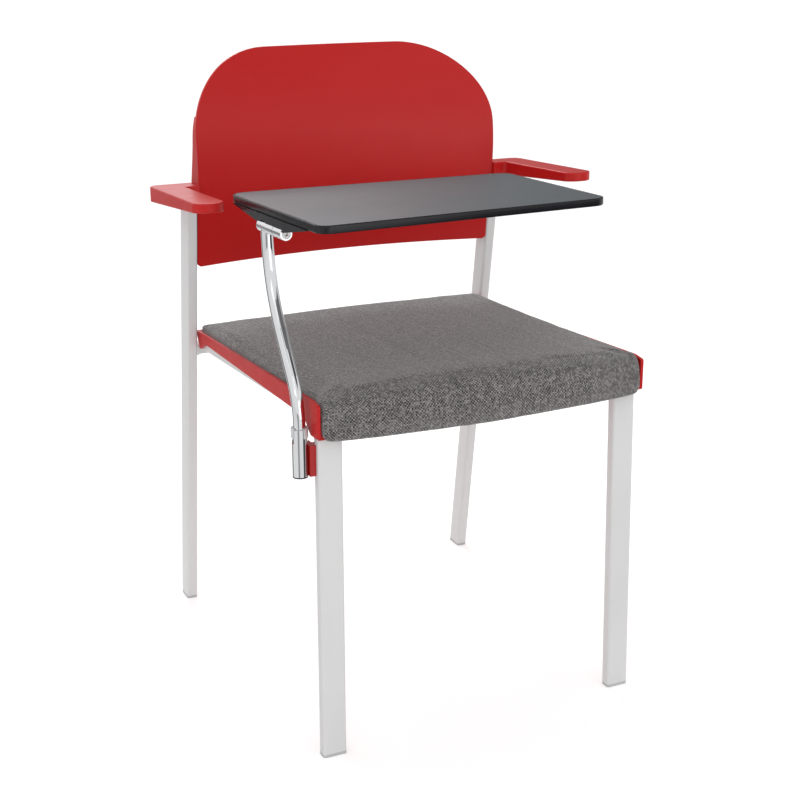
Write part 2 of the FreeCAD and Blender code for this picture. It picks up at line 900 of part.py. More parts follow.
def hinge_place(shape):
    # From hinge coordinates, X across, Y back along the hinge, Z up, to the chair
    placed = shape.copy()
    placed.rotate(Vector(0, 0, 0), Vector(1, 0, 0), -hinge_tilt_deg)
    placed.translate(Vector(-pivot_x, hinge_y, hinge_z))
    return placed


def post_path():
    lean = math.radians(post_lean_deg)
    tilt = math.radians(hinge_tilt_deg)
    top_y = hinge_y + post_top_along * math.cos(tilt)
    top_z = hinge_z - post_top_along * math.sin(tilt) - post_top_drop
    low_back = post_low_bend * (1 - math.cos(lean))
    high_back = post_high_bend * (1 - math.cos(lean))
    run = (top_y - pivot_y - low_back - high_back) / math.sin(lean)
    bends = (post_low_bend + post_high_bend) * math.sin(lean) + run * math.cos(lean)
    start_z = top_z - bends
    half = lean / 2
    points = [Vector(-pivot_x, pivot_y, post_low_z), Vector(-pivot_x, pivot_y, start_z)]
    low_mid = Vector(-pivot_x, pivot_y + post_low_bend * (1 - math.cos(half)),
                     start_z + post_low_bend * math.sin(half))
    low_end = Vector(-pivot_x, pivot_y + low_back, start_z + post_low_bend * math.sin(lean))
    high_start = low_end + Vector(0, math.sin(lean), math.cos(lean)) * run
    high_end = Vector(-pivot_x, top_y, top_z)
    high_mid = Vector(-pivot_x, top_y - post_high_bend * (1 - math.cos(half)),
                      top_z - post_high_bend * math.sin(half))
    edges = [
        Part.LineSegment(points[0], points[1]).toShape(),
        Part.Arc(points[1], low_mid, low_end).toShape(),
        Part.LineSegment(low_end, high_start).toShape(),
        Part.Arc(high_start, high_mid, high_end).toShape(),
    ]
    return Part.Wire(edges)


def post_sweep(radius):
    path = post_path()
    start = pivot_point(post_low_z)
    ring = Part.Wire([Part.makeCircle(radius, start, Vector(0, 0, 1))])
    return path.makePipeShell([ring], True, True)


def knuckle(front, rear, bore):
    body = rod(Vector(0, front, 0), Vector(0, 1, 0), rear - front, knuckle_radius)
    hole = rod(Vector(0, front - overrun, 0), Vector(0, 1, 0), rear - front + 2 * overrun, bore)
    return body, hole


def tablet_post():
    body, hole = knuckle(post_knuckle_front, post_knuckle_rear, knuckle_bore)
    tube = post_sweep(post_radius)
    inner = post_sweep(post_radius - post_wall)
    pin = swivel_stop_pin(screw_fit / 2)
    stem = tube.cut([inner, pin])
    return stem.fuse(hinge_place(body)).cut(hinge_place(hole)).removeSplitter()


def swivel_stop_pin(grown=0):
    middle_z = slot_low_z + slot_high / 2
    angle = math.radians(stop_pin_deg)
    outward = Vector(math.cos(angle), math.sin(angle), 0)
    start = pivot_point(middle_z) - outward * (post_radius / 2)
    length = post_radius / 2 + stop_pin_reach
    return rod(start, outward, length, stop_pin_radius + grown)


def hinge_leaf():
    # A flat leaf from the top of the tablet's half of the barrel
    rear = post_knuckle_front - washer_thick
    return Part.makeBox(
        leaf_wide, rear - tablet_knuckle_front, leaf_thick,
        Vector(0, tablet_knuckle_front, knuckle_radius - leaf_thick))


def leaf_screw_places():
    middle = (tablet_knuckle_front + post_knuckle_front - washer_thick) / 2
    return [Vector(x, middle, knuckle_radius - leaf_thick) for x in leaf_screw_x]


def leaf_screw_holes():
    holes = []
    for place in leaf_screw_places():
        start = place - Vector(0, 0, overrun)
        holes.append(rod(start, Vector(0, 0, 1), overrun + leaf_screw_length + touch_gap,
                         casing_screw_radius + screw_fit))
    return compound(holes)


def hinge_knuckle():
    # The tablet's half of the barrel with its leaf
    rear = post_knuckle_front - washer_thick
    body, hole = knuckle(tablet_knuckle_front, rear, knuckle_bore)
    recess = rod(Vector(0, tablet_knuckle_front - overrun, 0), Vector(0, 1, 0),
                 overrun + hinge_pin_recess, hinge_pin_head + screw_fit)
    body = body.fuse(hinge_leaf()).removeSplitter()
    return hinge_place(body.cut([hole, recess, leaf_screw_holes()]))


def hinge_pin():
    front = tablet_knuckle_front + hinge_pin_recess - hinge_pin_head_thick
    rear = post_knuckle_rear
    shank = rod(Vector(0, front, 0), Vector(0, 1, 0), rear - front, hinge_pin_radius)
    head = rod(Vector(0, front, 0), Vector(0, 1, 0), hinge_pin_head_thick, hinge_pin_head)
    dimple = rod(Vector(0, front - overrun, 0), Vector(0, 1, 0), overrun + hinge_pin_dimple_deep,
                 hinge_pin_dimple)
    return hinge_place(shank.fuse(head).removeSplitter().cut(dimple))


def hinge_washer():
    front = post_knuckle_front - washer_thick
    ring = rod(Vector(0, front, 0), Vector(0, 1, 0), washer_thick, knuckle_radius - touch_gap)
    hole = rod(Vector(0, front - overrun, 0), Vector(0, 1, 0), 2 * overrun + washer_thick,
               knuckle_bore + screw_fit)
    return hinge_place(ring.cut(hole))


def tablet_plan(inset, z):
    left = tablet_left + inset
    right = tablet_right - inset
    long_side = tablet_right - tablet_left
    taper = (tablet_half_left - tablet_half_right) / long_side
    half_left = tablet_half_left - taper * inset - inset
    half_right = tablet_half_right + taper * inset - inset
    radius = tablet_corner - inset
    middle = tablet_middle
    return outline([
        (Vector(left, middle + half_left, z), radius),
        (Vector(left, middle - half_left, z), tablet_near_corner - inset),
        (Vector(right - tablet_rake, middle - half_right, z), radius),
        (Vector(right + tablet_rake, middle + half_right, z), radius),
    ])


def tablet_core():
    low = tablet_top - tablet_thick
    high = tablet_thick - laminate_thick
    core = Part.Face(tablet_plan(edge_band_wide, low)).extrude(Vector(0, 0, high))
    holes = [casing_screw_hole(y) for y in casing_screw_y]
    return hinge_place(core.cut(holes + [leaf_screw_holes()]))


def tablet_laminate():
    low = tablet_top - laminate_thick
    sheet = Part.Face(tablet_plan(edge_band_wide, low))
    return hinge_place(sheet.extrude(Vector(0, 0, laminate_thick)))


def tablet_edge_band():
    low = tablet_top - tablet_thick
    outer = Part.Face(tablet_plan(0, low)).extrude(Vector(0, 0, tablet_thick))
    rims = []
    for edge in outer.Edges:
        ends = [vertex.Point.z for vertex in edge.Vertexes]
        if abs(ends[0] - ends[-1]) < touch_gap:
            rims.append(edge)
    outer = outer.makeFillet(edge_round, rims)
    inner = Part.Face(tablet_plan(edge_band_wide, low - overrun))
    inner = inner.extrude(Vector(0, 0, tablet_thick + 2 * overrun))
    return hinge_place(outer.cut(inner))


def casing_screw_place(y):
    under = tablet_top - tablet_thick
    return Vector(casing_screw_x, y, under - casing_screw_grip)


def casing_screw_hole(y):
    start = casing_screw_place(y) - Vector(0, 0, overrun)
    return rod(start, Vector(0, 0, 1), overrun + casing_screw_length + touch_gap,
               casing_screw_radius + screw_fit)


def casing_screw_seat(y):
    start = casing_screw_place(y) - Vector(0, 0, casing_keel_high)
    return rod(start, Vector(0, 0, 1), casing_keel_high, casing_screw_head + screw_fit)


def tablet_casing():
    # A keel under the tablet's hinge side that sits on the upper part of the hinge barrel
    under = tablet_top - tablet_thick
    outer = tablet_left - casing_ledge
    profile = outline([
        (Vector(outer, casing_rear, under), 0),
        (Vector(outer, casing_rear, under - casing_end_high), 0),
        (Vector(outer, casing_keel_rear, under - casing_keel_rear_high), 0),
        (Vector(outer, casing_keel_middle, under - casing_keel_high), 0),
        (Vector(outer, casing_keel_front, under - casing_keel_high), 0),
        (Vector(outer, casing_front, under - casing_end_high), 0),
        (Vector(outer, casing_front, under), 0),
    ])
    body = Part.Face(profile).extrude(Vector(casing_wide, 0, 0))
    low = under - casing_keel_high - overrun
    inner = outer + casing_wide
    edge = tablet_plan(-casing_ledge, low)
    plan = Part.Face(edge).common(Part.Face(outline([
        (Vector(outer - overrun, casing_rear + overrun, low), 0),
        (Vector(outer + casing_ledge, casing_rear + overrun, low), 0),
        (Vector(inner, casing_keel_rear, low), 0),
        (Vector(inner, casing_keel_front, low), 0),
        (Vector(outer + casing_ledge, casing_front - overrun, low), 0),
        (Vector(outer - overrun, casing_front - overrun, low), 0),
    ])))
    body = body.common(plan.Faces[0].extrude(Vector(0, 0, casing_keel_high + 2 * overrun)))
    cuts = [saddle_room(), post_room(), hinge_leaf(), leaf_screw_holes()]
    for y in casing_screw_y:
        cuts.append(casing_screw_seat(y))
        cuts.append(casing_screw_hole(y))
    for place in leaf_screw_places():
        start = place - Vector(0, 0, casing_keel_high)
        cuts.append(rod(start, Vector(0, 0, 1), casing_keel_high, casing_screw_head + screw_fit))
    return hinge_place(body.cut(cuts))


def saddle_room():
    # Room for the barrel: close round the tablet's own half, free round the post's half
    front = tablet_knuckle_front - casing_play
    middle = post_knuckle_front - washer_thick
    rear = post_knuckle_rear + casing_play
    grip = rod(Vector(0, front, 0), Vector(0, 1, 0), middle - front, knuckle_radius)
    free = rod(Vector(0, middle, 0), Vector(0, 1, 0), rear - middle, knuckle_radius + casing_play)
    return grip.fuse(free)


def post_room():
    # Room on the outer side, where the post lies when the tablet stands up
    reach = post_radius + casing_play
    return Part.makeBox(
        2 * knuckle_radius, 2 * reach, 2 * reach,
        Vector(-2 * knuckle_radius, post_top_along - reach, -reach))


def casing_screws():
    pieces = []
    for y in casing_screw_y:
        pieces.append(screw(casing_screw_place(y), Vector(0, 0, 1), casing_screw_length,
                            casing_screw_radius, casing_screw_head, casing_screw_head_high))
    for place in leaf_screw_places():
        pieces.append(screw(place, Vector(0, 0, 1), leaf_screw_length, casing_screw_radius,
                            casing_screw_head, casing_screw_head_high))
    return hinge_place(compound(pieces))


def main():
    os.makedirs("parts", exist_ok=True)
    both_sides("front_leg", front_leg(), bracket_bolt_holes())
    both_sides("rear_leg", rear_leg())
    front_top = front_leg_at(rail_bend_start())
    rear_top = Vector(rear_leg_x, rear_leg_y(rear_leg_top), rear_leg_top)
    front_foot = front_leg_at(0)
    rear_foot = Vector(rear_leg_x, rear_foot_y, 0)
    both_sides("front_glide", glide(front_foot, front_top, tube_wide, tube_thin))
    both_sides("rear_glide", glide(rear_foot, rear_top, tube_thin, tube_wide))
    both_sides("seat_rail", side_rail())
    both_sides("armrest", armrest())
    single_parts = (
        front_cross_rail, rear_cross_rail, seat_shell, seat_board, seat_cushion, seat_screws,
        back_shell, back_screws, arm_screws, tablet_bracket, bracket_bolts, pivot_sleeve,
        sleeve_collar, upper_bush, lower_bush, sleeve_cap, tablet_post, swivel_stop_pin,
        hinge_pin, hinge_washer, hinge_knuckle, tablet_casing, casing_screws, tablet_core,
        tablet_laminate, tablet_edge_band,
    )
    for make in single_parts:
        save(make.__name__, make())


centre_y = (rear_foot_back + tablet_edge_band().BoundBox.YMin) / 2
main()
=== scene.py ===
import math

import bmesh
import bpy
import numpy as np
from bpy.props import FloatProperty, FloatVectorProperty, PointerProperty
from mathutils import Matrix, Vector


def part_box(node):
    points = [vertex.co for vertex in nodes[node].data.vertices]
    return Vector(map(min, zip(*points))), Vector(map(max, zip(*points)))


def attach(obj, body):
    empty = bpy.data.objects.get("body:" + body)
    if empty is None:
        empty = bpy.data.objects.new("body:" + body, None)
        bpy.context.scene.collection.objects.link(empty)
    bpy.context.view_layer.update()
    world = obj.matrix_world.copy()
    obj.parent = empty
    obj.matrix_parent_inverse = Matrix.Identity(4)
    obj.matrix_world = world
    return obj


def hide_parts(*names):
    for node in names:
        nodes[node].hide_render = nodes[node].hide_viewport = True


bl_info = {
    "name": "Writing Tablet Chair Looks",
    "version": (1, 0, 0),
    "blender": (4, 5, 0),
    "location": "3D View > Sidebar > Chair",
    "description": "Finishes, seat pad, tablet edge, screws and studio for a stacking chair with a tablet",
    "category": "Object",
}

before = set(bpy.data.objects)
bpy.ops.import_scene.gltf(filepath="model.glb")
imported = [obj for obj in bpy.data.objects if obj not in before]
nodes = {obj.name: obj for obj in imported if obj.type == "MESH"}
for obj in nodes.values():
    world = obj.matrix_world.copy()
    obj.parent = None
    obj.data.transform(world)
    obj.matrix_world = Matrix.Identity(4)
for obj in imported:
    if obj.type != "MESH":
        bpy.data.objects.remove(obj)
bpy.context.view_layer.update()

PAD_LOW, PAD_HIGH = (Vector(corner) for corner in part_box("seat_cushion"))

# The tablet's plan as the CAD has it, in metres, in the hinge's own frame
HINGE_POINT = (-0.226, -0.13892268, 0.6259)
HINGE_TILT = math.radians(2.5)
TABLET_LEFT = -0.0032
TABLET_HALF_LEFT = 0.1459
TABLET_HALF_RIGHT = 0.1296
TABLET_RAKE = 0.0058
TABLET_MIDDLE = -0.0040
TABLET_CORNER = 0.020
TABLET_NEAR_CORNER = 0.014
TABLET_TOP = 0.0237

# Slopes of the seat's top and of its rails, in degrees, and the rounding of the pad's front edge, in metres
SEAT_SLOPE = 2.9
RAIL_SLOPE = 3.3
NOSE_RADIUS = 0.016

# Steps of the seat pad's cloth simulation
CLOTH_STEPS = 20

# Radius and height of a screw's head and radius of its shank, in metres
LARGE_SCREW = (0.0050, 0.0026, 0.0025)
SMALL_SCREW = (0.0033, 0.0020, 0.00125)
SOCKET_SHARE = 0.52

# The photograph's camera: place in metres, turns in degrees, focal length and width in pixels
CAMERA_PLACE = (-0.7809, -1.6601, 0.9563)
CAMERA_HEADING = 25.03
CAMERA_PITCH = 18.21
CAMERA_ROLL = -0.12
FOCAL_PIXELS = 1470.5
PHOTO_PIXELS = 800.0
SENSOR_WIDE = 36.0

# Headings of the studio's upright dark gaps, in degrees from +Y towards +X, with how dark each is,
# and the spot on the floor, under the post, that they stand round
DARK_GAPS = ((108.0, 150.0, 0.92), (-156.0, -133.0, 0.62), (-48.0, -15.5, 0.80))
GAPS_MIDDLE = (-0.226, -0.205, 0.0)

# The surroundings' brightness, how much brighter they are behind on the left and darker behind on the
# right, each between two headings in degrees
SKY_LEVEL = 0.95
REAR_LEFT = (-60.0, 24.0, 0.10)
REAR_RIGHT = (25.0, 84.0, 0.70)
REAR_SOFT = 3.5

# Place, target, width and height of the soft lights, and half of the floor's width, in metres
KEY_LIGHT = ((-1.6, -2.4, 2.4), (0.0, 0.0, 0.45), 1.6, 1.6)
FILL_LIGHT = ((0.5, -2.8, 0.7), (0.0, 0.0, 0.5), 1.8, 1.2)
REAR_LIGHT = ((0.20, 1.56, 1.75), (-0.2, 0.0, 0.6), 0.7, 0.6)
FLOOR_HALF = 40.0


# Sizes and colours a user would change

class ChairSizes(bpy.types.PropertyGroup):
    pad_voxel: FloatProperty(
        name="Pad mesh", description="Cell of the even mesh that the seat pad's cloth is blown up on",
        default=0.004, min=0.003, max=0.01, unit="LENGTH")
    pad_draw_in: FloatProperty(
        name="Pad draw-in", description="How much smaller the pad starts before its cloth is blown up",
        default=0.0008, min=0.0, max=0.004, unit="LENGTH")
    pad_swell: FloatProperty(
        name="Pad swell", description="The most that a point of the pad may move outwards",
        default=0.0035, min=0.0, max=0.01, unit="LENGTH")
    thread_pitch: FloatProperty(
        name="Thread pitch", description="Distance from one thread of the seat cloth to the next",
        default=0.0019, min=0.0005, max=0.004, unit="LENGTH")
    tablet_long: FloatProperty(
        name="Tablet length", description="From the tablet's hinge side to its free end, at the middle",
        default=0.3630, min=0.3, max=0.42, unit="LENGTH")
    band_wide: FloatProperty(
        name="Band width", description="Width of the tablet's edge band, seen from above",
        default=0.0020, min=0.001, max=0.004, unit="LENGTH")
    band_high: FloatProperty(
        name="Band height", description="Height of the tablet's edge band",
        default=0.0088, min=0.006, max=0.02, unit="LENGTH")
    band_round: FloatProperty(
        name="Band rounding", description="Radius of the band's outer edges",
        default=0.0012, min=0.0003, max=0.002, unit="LENGTH")
    weld_wide: FloatProperty(
        name="Weld width", description="Width of the weld beads between the frame's tubes",
        default=0.0036, min=0.001, max=0.006, unit="LENGTH")
    weld_pitch: FloatProperty(
        name="Weld pitch", description="Distance from one ripple of a weld bead to the next",
        default=0.0021, min=0.001, max=0.006, unit="LENGTH")
    key_power: FloatProperty(
        name="Key light", description="Power of the large soft light at the front left, in watts",
        default=5.0, min=0.0, max=200.0)
    fill_power: FloatProperty(
        name="Fill light", description="Power of the low soft light at the front right, in watts",
        default=6.0, min=0.0, max=200.0)
    rim_power: FloatProperty(
        name="Rear light", description="Power of the soft light high behind the chair, in watts",
        default=12.0, min=0.0, max=200.0)


def colour(name, description, value):
    return FloatVectorProperty(name=name, description=description, default=value, subtype="COLOR",
                               size=3, min=0.0, max=1.0)


class ChairColours(bpy.types.PropertyGroup):
    frame_paint: colour("Frame", "Light grey powder coat of the tubes", (0.69, 0.69, 0.69))
    shell_red: colour("Red", "Red of the moulded seat shell, back and arms", (0.50, 0.0088, 0.0082))
    cloth_light: colour("Cloth, light yarn", "The lighter yarn of the seat cloth", (0.375, 0.357, 0.352))
    cloth_dark: colour("Cloth, dark yarn", "The darker yarn of the seat cloth", (0.014, 0.0122, 0.0125))
    laminate_grey: colour("Laminate", "Grey of the tablet's top", (0.058, 0.072, 0.081))
    backing_grey: colour("Backing", "Light grey sheet under the tablet", (0.26, 0.262, 0.266))
    trim_black: colour("Trim", "Black of the tablet's band and casing", (0.0045, 0.0045, 0.0070))
    chrome: colour("Chrome", "Chromed post, sleeve and hinge", (0.72, 0.73, 0.745))
    zinc: colour("Screws", "Zinc plating of the screws", (0.52, 0.52, 0.51))
    collar_grey: colour("Collar", "Pale plastic collar on the post's sleeve", (0.60, 0.61, 0.62))
    foot_grey: colour("Glides", "Grey plastic of the feet and bushes", (0.50, 0.51, 0.52))


# Short helpers for node trees

def put(tree, kind, ins=(), **settings):
    """A node of that kind with its settings, its inputs set or linked."""
    node = tree.nodes.new(kind)
    for key, value in settings.items():
        setattr(node, key, value)
    for key, value in dict(ins).items():
        if isinstance(value, bpy.types.NodeSocket):
            tree.links.new(value, node.inputs[key])
        else:
            node.inputs[key].default_value = value
    return node


def get(tree, kind, ins=(), **settings):
    """The first output of a node that put makes."""
    return put(tree, kind, ins, **settings).outputs[0]


def calc(tree, operation, a, b=0.0, c=0.0):
    return get(tree, "ShaderNodeMath", {0: a, 1: b, 2: c}, operation=operation)


def vec(tree, operation, a, b=(0.0, 0.0, 0.0), scale=1.0):
    node = put(tree, "ShaderNodeVectorMath", {0: a, 1: b}, operation=operation)
    if operation == "SCALE":
        node.inputs["Scale"].default_value = scale
    return node.outputs["Value" if operation in ("LENGTH", "DOT_PRODUCT", "DISTANCE") else "Vector"]


def spread(tree, value, low, high, new_low, new_high):
    node = put(tree, "ShaderNodeMapRange", {0: value, 1: low, 2: high, 3: new_low, 4: new_high}, clamp=True)
    return node.outputs[0]


def blend_colour(tree, share, a, b, blend_type="MIX"):
    node = put(tree, "ShaderNodeMix", {0: share, 6: a, 7: b}, data_type="RGBA", blend_type=blend_type)
    return node.outputs[2]


def rgba(value, gain=1.0):
    return (*(min(1.0, part * gain) for part in value), 1.0)


def grey(tree, level):
    """A colour whose three parts are the level."""
    return get(tree, "ShaderNodeCombineColor", {0: level, 1: level, 2: level})


def split(tree, vector):
    return put(tree, "ShaderNodeSeparateXYZ", {0: vector}).outputs


def noise(tree, where, scale, detail=3.0, roughness=0.5, output=0):
    ins = {"Vector": where, "Scale": scale, "Detail": detail, "Roughness": roughness}
    return put(tree, "ShaderNodeTexNoise", ins).outputs[output]


def stretched(tree, where, scale):
    return get(tree, "ShaderNodeMapping", {"Vector": where, "Scale": scale})


def bump(tree, height, strength, distance, under=None):
    ins = {"Height": height, "Strength": strength, "Distance": distance}
    if under is not None:
        ins["Normal"] = under
    return get(tree, "ShaderNodeBump", ins)


def new_finish(name):
    """A new node material with its node tree, its shader and its Object coordinates."""
    material = bpy.data.materials.new(name)
    material.use_nodes = True
    tree = material.node_tree
    tree.nodes.clear()
    shader = put(tree, "ShaderNodeBsdfPrincipled")
    put(tree, "ShaderNodeOutputMaterial", {0: shader.outputs[0]})
    where = put(tree, "ShaderNodeTexCoord").outputs["Object"]
    return material, tree, shader, where


def feed(tree, shader, **ins):
    """Sets or links the shader's sockets by name, with spaces for underscores."""
    for key, value in ins.items():
        socket = shader.inputs[key.replace("_", " ")]
        if isinstance(value, bpy.types.NodeSocket):
            tree.links.new(value, socket)
        else:
            socket.default_value = value


# Finishes

def powder_coat(tint):
    material, tree, shader, where = new_finish("powder_coat")
    peel = noise(tree, where, 900.0, 2.0)
    cloud = noise(tree, where, 14.0, 3.0)
    coat = blend_colour(tree, cloud, rgba(tint, 0.97), rgba(tint, 1.03))
    feed(tree, shader, Base_Color=coat, Roughness=spread(tree, cloud, 0.3, 0.7, 0.36, 0.44),
         Normal=bump(tree, peel, 0.10, 0.0002))
    return material


def moulded_red(tint):
    material, tree, shader, where = new_finish("moulded_red")
    grain = noise(tree, where, 1500.0, 2.0)
    cloud = noise(tree, where, 7.0, 2.0)
    handled = noise(tree, where, 38.0, 4.0, 0.6)
    pigment = blend_colour(tree, cloud, rgba(tint, 0.95), rgba(tint, 1.05))
    feed(tree, shader, Base_Color=pigment, Roughness=spread(tree, handled, 0.3, 0.7, 0.33, 0.41),
         Specular_IOR_Level=0.29, Normal=bump(tree, grain, 0.06, 0.0001))
    return material


def bracket_enamel(tint):
    material, tree, shader, where = new_finish("bracket_enamel")
    peel = noise(tree, where, 700.0, 2.0)
    cloud = noise(tree, where, 20.0, 2.0)
    enamel = blend_colour(tree, cloud, rgba(tint, 0.76), rgba(tint, 0.86))
    feed(tree, shader, Base_Color=enamel, Roughness=spread(tree, cloud, 0.3, 0.7, 0.30, 0.38),
         Normal=bump(tree, peel, 0.10, 0.0002))
    return material


def seat_cloth(colours, pitch):
    """A plain weave of light and dark yarn on the pad's own 'weave' map, in metres along the cloth, with
    painted shade in the hollows between the threads and a little painted highlight on their crowns.
    """
    material, tree, shader, _ = new_finish("seat_cloth")
    check_share, dot_share, warp_share, flatness = 0.42, 0.60, 0.14, 3.4
    cloth = get(tree, "ShaderNodeUVMap", uv_map="weave")
    drift = noise(tree, cloth, 160.0, 2.0, output=1)
    drift = vec(tree, "SCALE", vec(tree, "SUBTRACT", drift, (0.5, 0.5, 0.5)), scale=0.0009)
    thread = vec(tree, "SCALE", vec(tree, "ADD", cloth, drift), scale=1.0 / pitch)
    cell = vec(tree, "FLOOR", thread)
    inside = vec(tree, "SUBTRACT", vec(tree, "SUBTRACT", thread, cell), (0.5, 0.5, 0.0))
    column, row, _ = split(tree, cell)
    across, along, _ = split(tree, inside)
    odd = calc(tree, "FLOORED_MODULO", calc(tree, "ADD", column, row), 2.0)
    across = calc(tree, "MULTIPLY", across, across)
    along = calc(tree, "MULTIPLY", along, along)
    warp = calc(tree, "SUBTRACT", 1.0, calc(tree, "ADD", calc(tree, "MULTIPLY", across, flatness), along))
    weft = calc(tree, "SUBTRACT", 1.0, calc(tree, "ADD", calc(tree, "MULTIPLY", along, flatness), across))
    height = get(tree, "ShaderNodeMix", {0: odd, 2: warp, 3: weft})
    fleck = get(tree, "ShaderNodeTexWhiteNoise", {0: cell}, noise_dimensions="2D")
    fibre = noise(tree, cloth, 4200.0, 2.0)
    warp_tone = get(tree, "ShaderNodeTexWhiteNoise", {"W": column}, noise_dimensions="1D")
    bright_dots = calc(tree, "MULTIPLY", calc(tree, "MULTIPLY", fleck, fleck), dot_share)
    random_tone = calc(tree, "ADD", bright_dots, calc(tree, "MULTIPLY", warp_tone, warp_share))
    light = calc(tree, "ADD", calc(tree, "MULTIPLY", odd, check_share), random_tone)
    light = calc(tree, "MINIMUM", light, 1.0)
    yarn = blend_colour(tree, light, rgba(colours.cloth_dark), rgba(colours.cloth_light))
    # Painted shade: the yarn is darkened in the hollows between threads and a little lightened on their
    # crowns; the fibre noise adds a random tone of the yarn.
    painted_thread_shade = spread(tree, height, 0.1, 0.9, 0.45, 1.06)
    painted_shade_and_fibre_tone = calc(tree, "MULTIPLY", painted_thread_shade, spread(tree, fibre, 0.3, 0.7, 0.88, 1.10))
    shaded = blend_colour(tree, 1.0, yarn, grey(tree, painted_shade_and_fibre_tone), "MULTIPLY")
    fuzz = bump(tree, noise(tree, cloth, 2600.0, 3.0, 0.7), 0.25, 0.0002)
    feed(tree, shader, Base_Color=shaded, Roughness=0.93, Sheen_Weight=0.48, Sheen_Roughness=0.42,
         Specular_IOR_Level=0.2, Normal=bump(tree, height, 0.8, 0.0004, fuzz))
    return material


def pressed_laminate(tint):
    material, tree, shader, where = new_finish("pressed_laminate")
    pebble = noise(tree, where, 1300.0, 3.0, 0.6)
    fleck = noise(tree, where, 420.0, 2.0)
    cloud = noise(tree, where, 9.0, 3.0)
    fleck = spread(tree, fleck, 0.35, 0.65, 0.0, 1.0)
    print_tone = blend_colour(tree, fleck, rgba(tint, 0.95), rgba(tint, 1.05))
    feed(tree, shader, Base_Color=print_tone, Roughness=spread(tree, cloud, 0.3, 0.7, 0.50, 0.55),
         Specular_IOR_Level=0.42, Normal=bump(tree, pebble, 0.10, 0.0001))
    return material


def trim_plastic(tint):
    material, tree, shader, where = new_finish("trim_plastic")
    spark = noise(tree, where, 2100.0, 2.0)
    cloud = noise(tree, where, 30.0, 3.0)
    tone = blend_colour(tree, cloud, rgba(tint, 0.85), rgba(tint, 1.25))
    feed(tree, shader, Base_Color=tone, Roughness=spread(tree, cloud, 0.3, 0.7, 0.22, 0.30),
         Specular_IOR_Level=0.36, Normal=bump(tree, spark, 0.10, 0.0001))
    return material


def polished_chrome(tint):
    """Bright chrome on the tubes, satin on the hinge barrel above them."""
    material, tree, shader, where = new_finish("polished_chrome")
    bright_below, satin_above = 0.6145, 0.6175  # heights in metres, at the barrel's underside
    satin = spread(tree, split(tree, where)[2], bright_below, satin_above, 0.0, 0.17)
    buffing = noise(tree, stretched(tree, where, (900.0, 900.0, 40.0)), 1.0, 3.0)
    haze = noise(tree, where, 60.0, 3.0)
    plate = blend_colour(tree, haze, rgba(tint, 0.97), rgba(tint, 1.03))
    feed(tree, shader, Base_Color=plate, Metallic=1.0,
         Roughness=calc(tree, "ADD", satin, spread(tree, buffing, 0.3, 0.7, 0.04, 0.08)),
         Normal=bump(tree, buffing, 0.03, 0.00005))
    return material


def zinc_plate(tint):
    material, tree, shader, where = new_finish("zinc_plate")
    spangle = put(tree, "ShaderNodeTexVoronoi", {"Vector": where, "Scale": 1400.0}).outputs["Color"]
    haze = noise(tree, where, 300.0, 3.0)
    plate = blend_colour(tree, 0.12, rgba(tint), spangle)
    feed(tree, shader, Base_Color=plate, Metallic=1.0, Roughness=spread(tree, haze, 0.3, 0.7, 0.28, 0.42),
         Normal=bump(tree, haze, 0.06, 0.0001))
    return material


def foot_plastic(tint):
    material, tree, shader, where = new_finish("foot_plastic")
    scuff = noise(tree, stretched(tree, where, (220.0, 260.0, 900.0)), 1.0, 4.0, 0.65)
    cloud = noise(tree, where, 45.0, 2.0)
    tone = blend_colour(tree, cloud, rgba(tint, 0.92), rgba(tint, 1.06))
    feed(tree, shader, Base_Color=tone, Roughness=spread(tree, scuff, 0.3, 0.7, 0.45, 0.62),
         Normal=bump(tree, scuff, 0.08, 0.0001))
    return material


def plywood():
    material, tree, shader, where = new_finish("plywood")
    grain = noise(tree, stretched(tree, where, (60.0, 4.0, 60.0)), 6.0, 5.0, 0.6)
    layers = get(tree, "ShaderNodeTexWave", {"Vector": where, "Scale": 180.0, "Distortion": 0.4},
                 bands_direction="Z")
    face = blend_colour(tree, grain, (0.42, 0.27, 0.15, 1.0), (0.66, 0.48, 0.30, 1.0))
    tone = blend_colour(tree, calc(tree, "MULTIPLY", layers, 0.3), face, (0.30, 0.18, 0.10, 1.0))
    feed(tree, shader, Base_Color=tone, Roughness=0.62, Normal=bump(tree, grain, 0.2, 0.0003))
    return material


def backing_sheet(tint):
    """The thin light grey sheet that is pressed on the underside of the tablet's core."""
    material, tree, shader, where = new_finish("backing_sheet")
    pebble = noise(tree, where, 1100.0, 3.0, 0.6)
    fibres = noise(tree, stretched(tree, where, (90.0, 300.0, 90.0)), 1.0, 4.0, 0.6)
    tone = blend_colour(tree, fibres, rgba(tint, 0.85), rgba(tint, 1.20))
    feed(tree, shader, Base_Color=tone, Roughness=spread(tree, fibres, 0.3, 0.7, 0.46, 0.56),
         Normal=bump(tree, pebble, 0.12, 0.0001))
    return material


# Mesh helpers

def make_object(name, mesh):
    piece = bpy.data.objects.new(name, mesh)
    bpy.context.scene.collection.objects.link(piece)
    return piece


def merged_copy(node, name):
    """A copy of a CAD node's mesh with its loose triangles joined, as a new object."""
    mesh = bpy.data.meshes.new(name)
    work = bmesh.new()
    work.from_mesh(nodes[node].data)
    bmesh.ops.remove_doubles(work, verts=work.verts, dist=1e-6)
    work.to_mesh(mesh)
    work.free()
    return make_object(name, mesh)


def plain_result(piece, name):
    """The mesh that a piece's modifiers make, as a new object without modifiers; the first is removed."""
    graph = bpy.context.evaluated_depsgraph_get()
    mesh = bpy.data.meshes.new_from_object(piece.evaluated_get(graph), depsgraph=graph)
    mesh.name = name
    data = piece.data
    bpy.data.objects.remove(piece)
    if data.users == 0:
        bpy.data.meshes.remove(data)
    return make_object(name, mesh)


def paint(material, *names):
    """Gives the material to CAD nodes, in the slots that they have."""
    for name in names:
        for holder in nodes[name].material_slots:
            holder.material = material


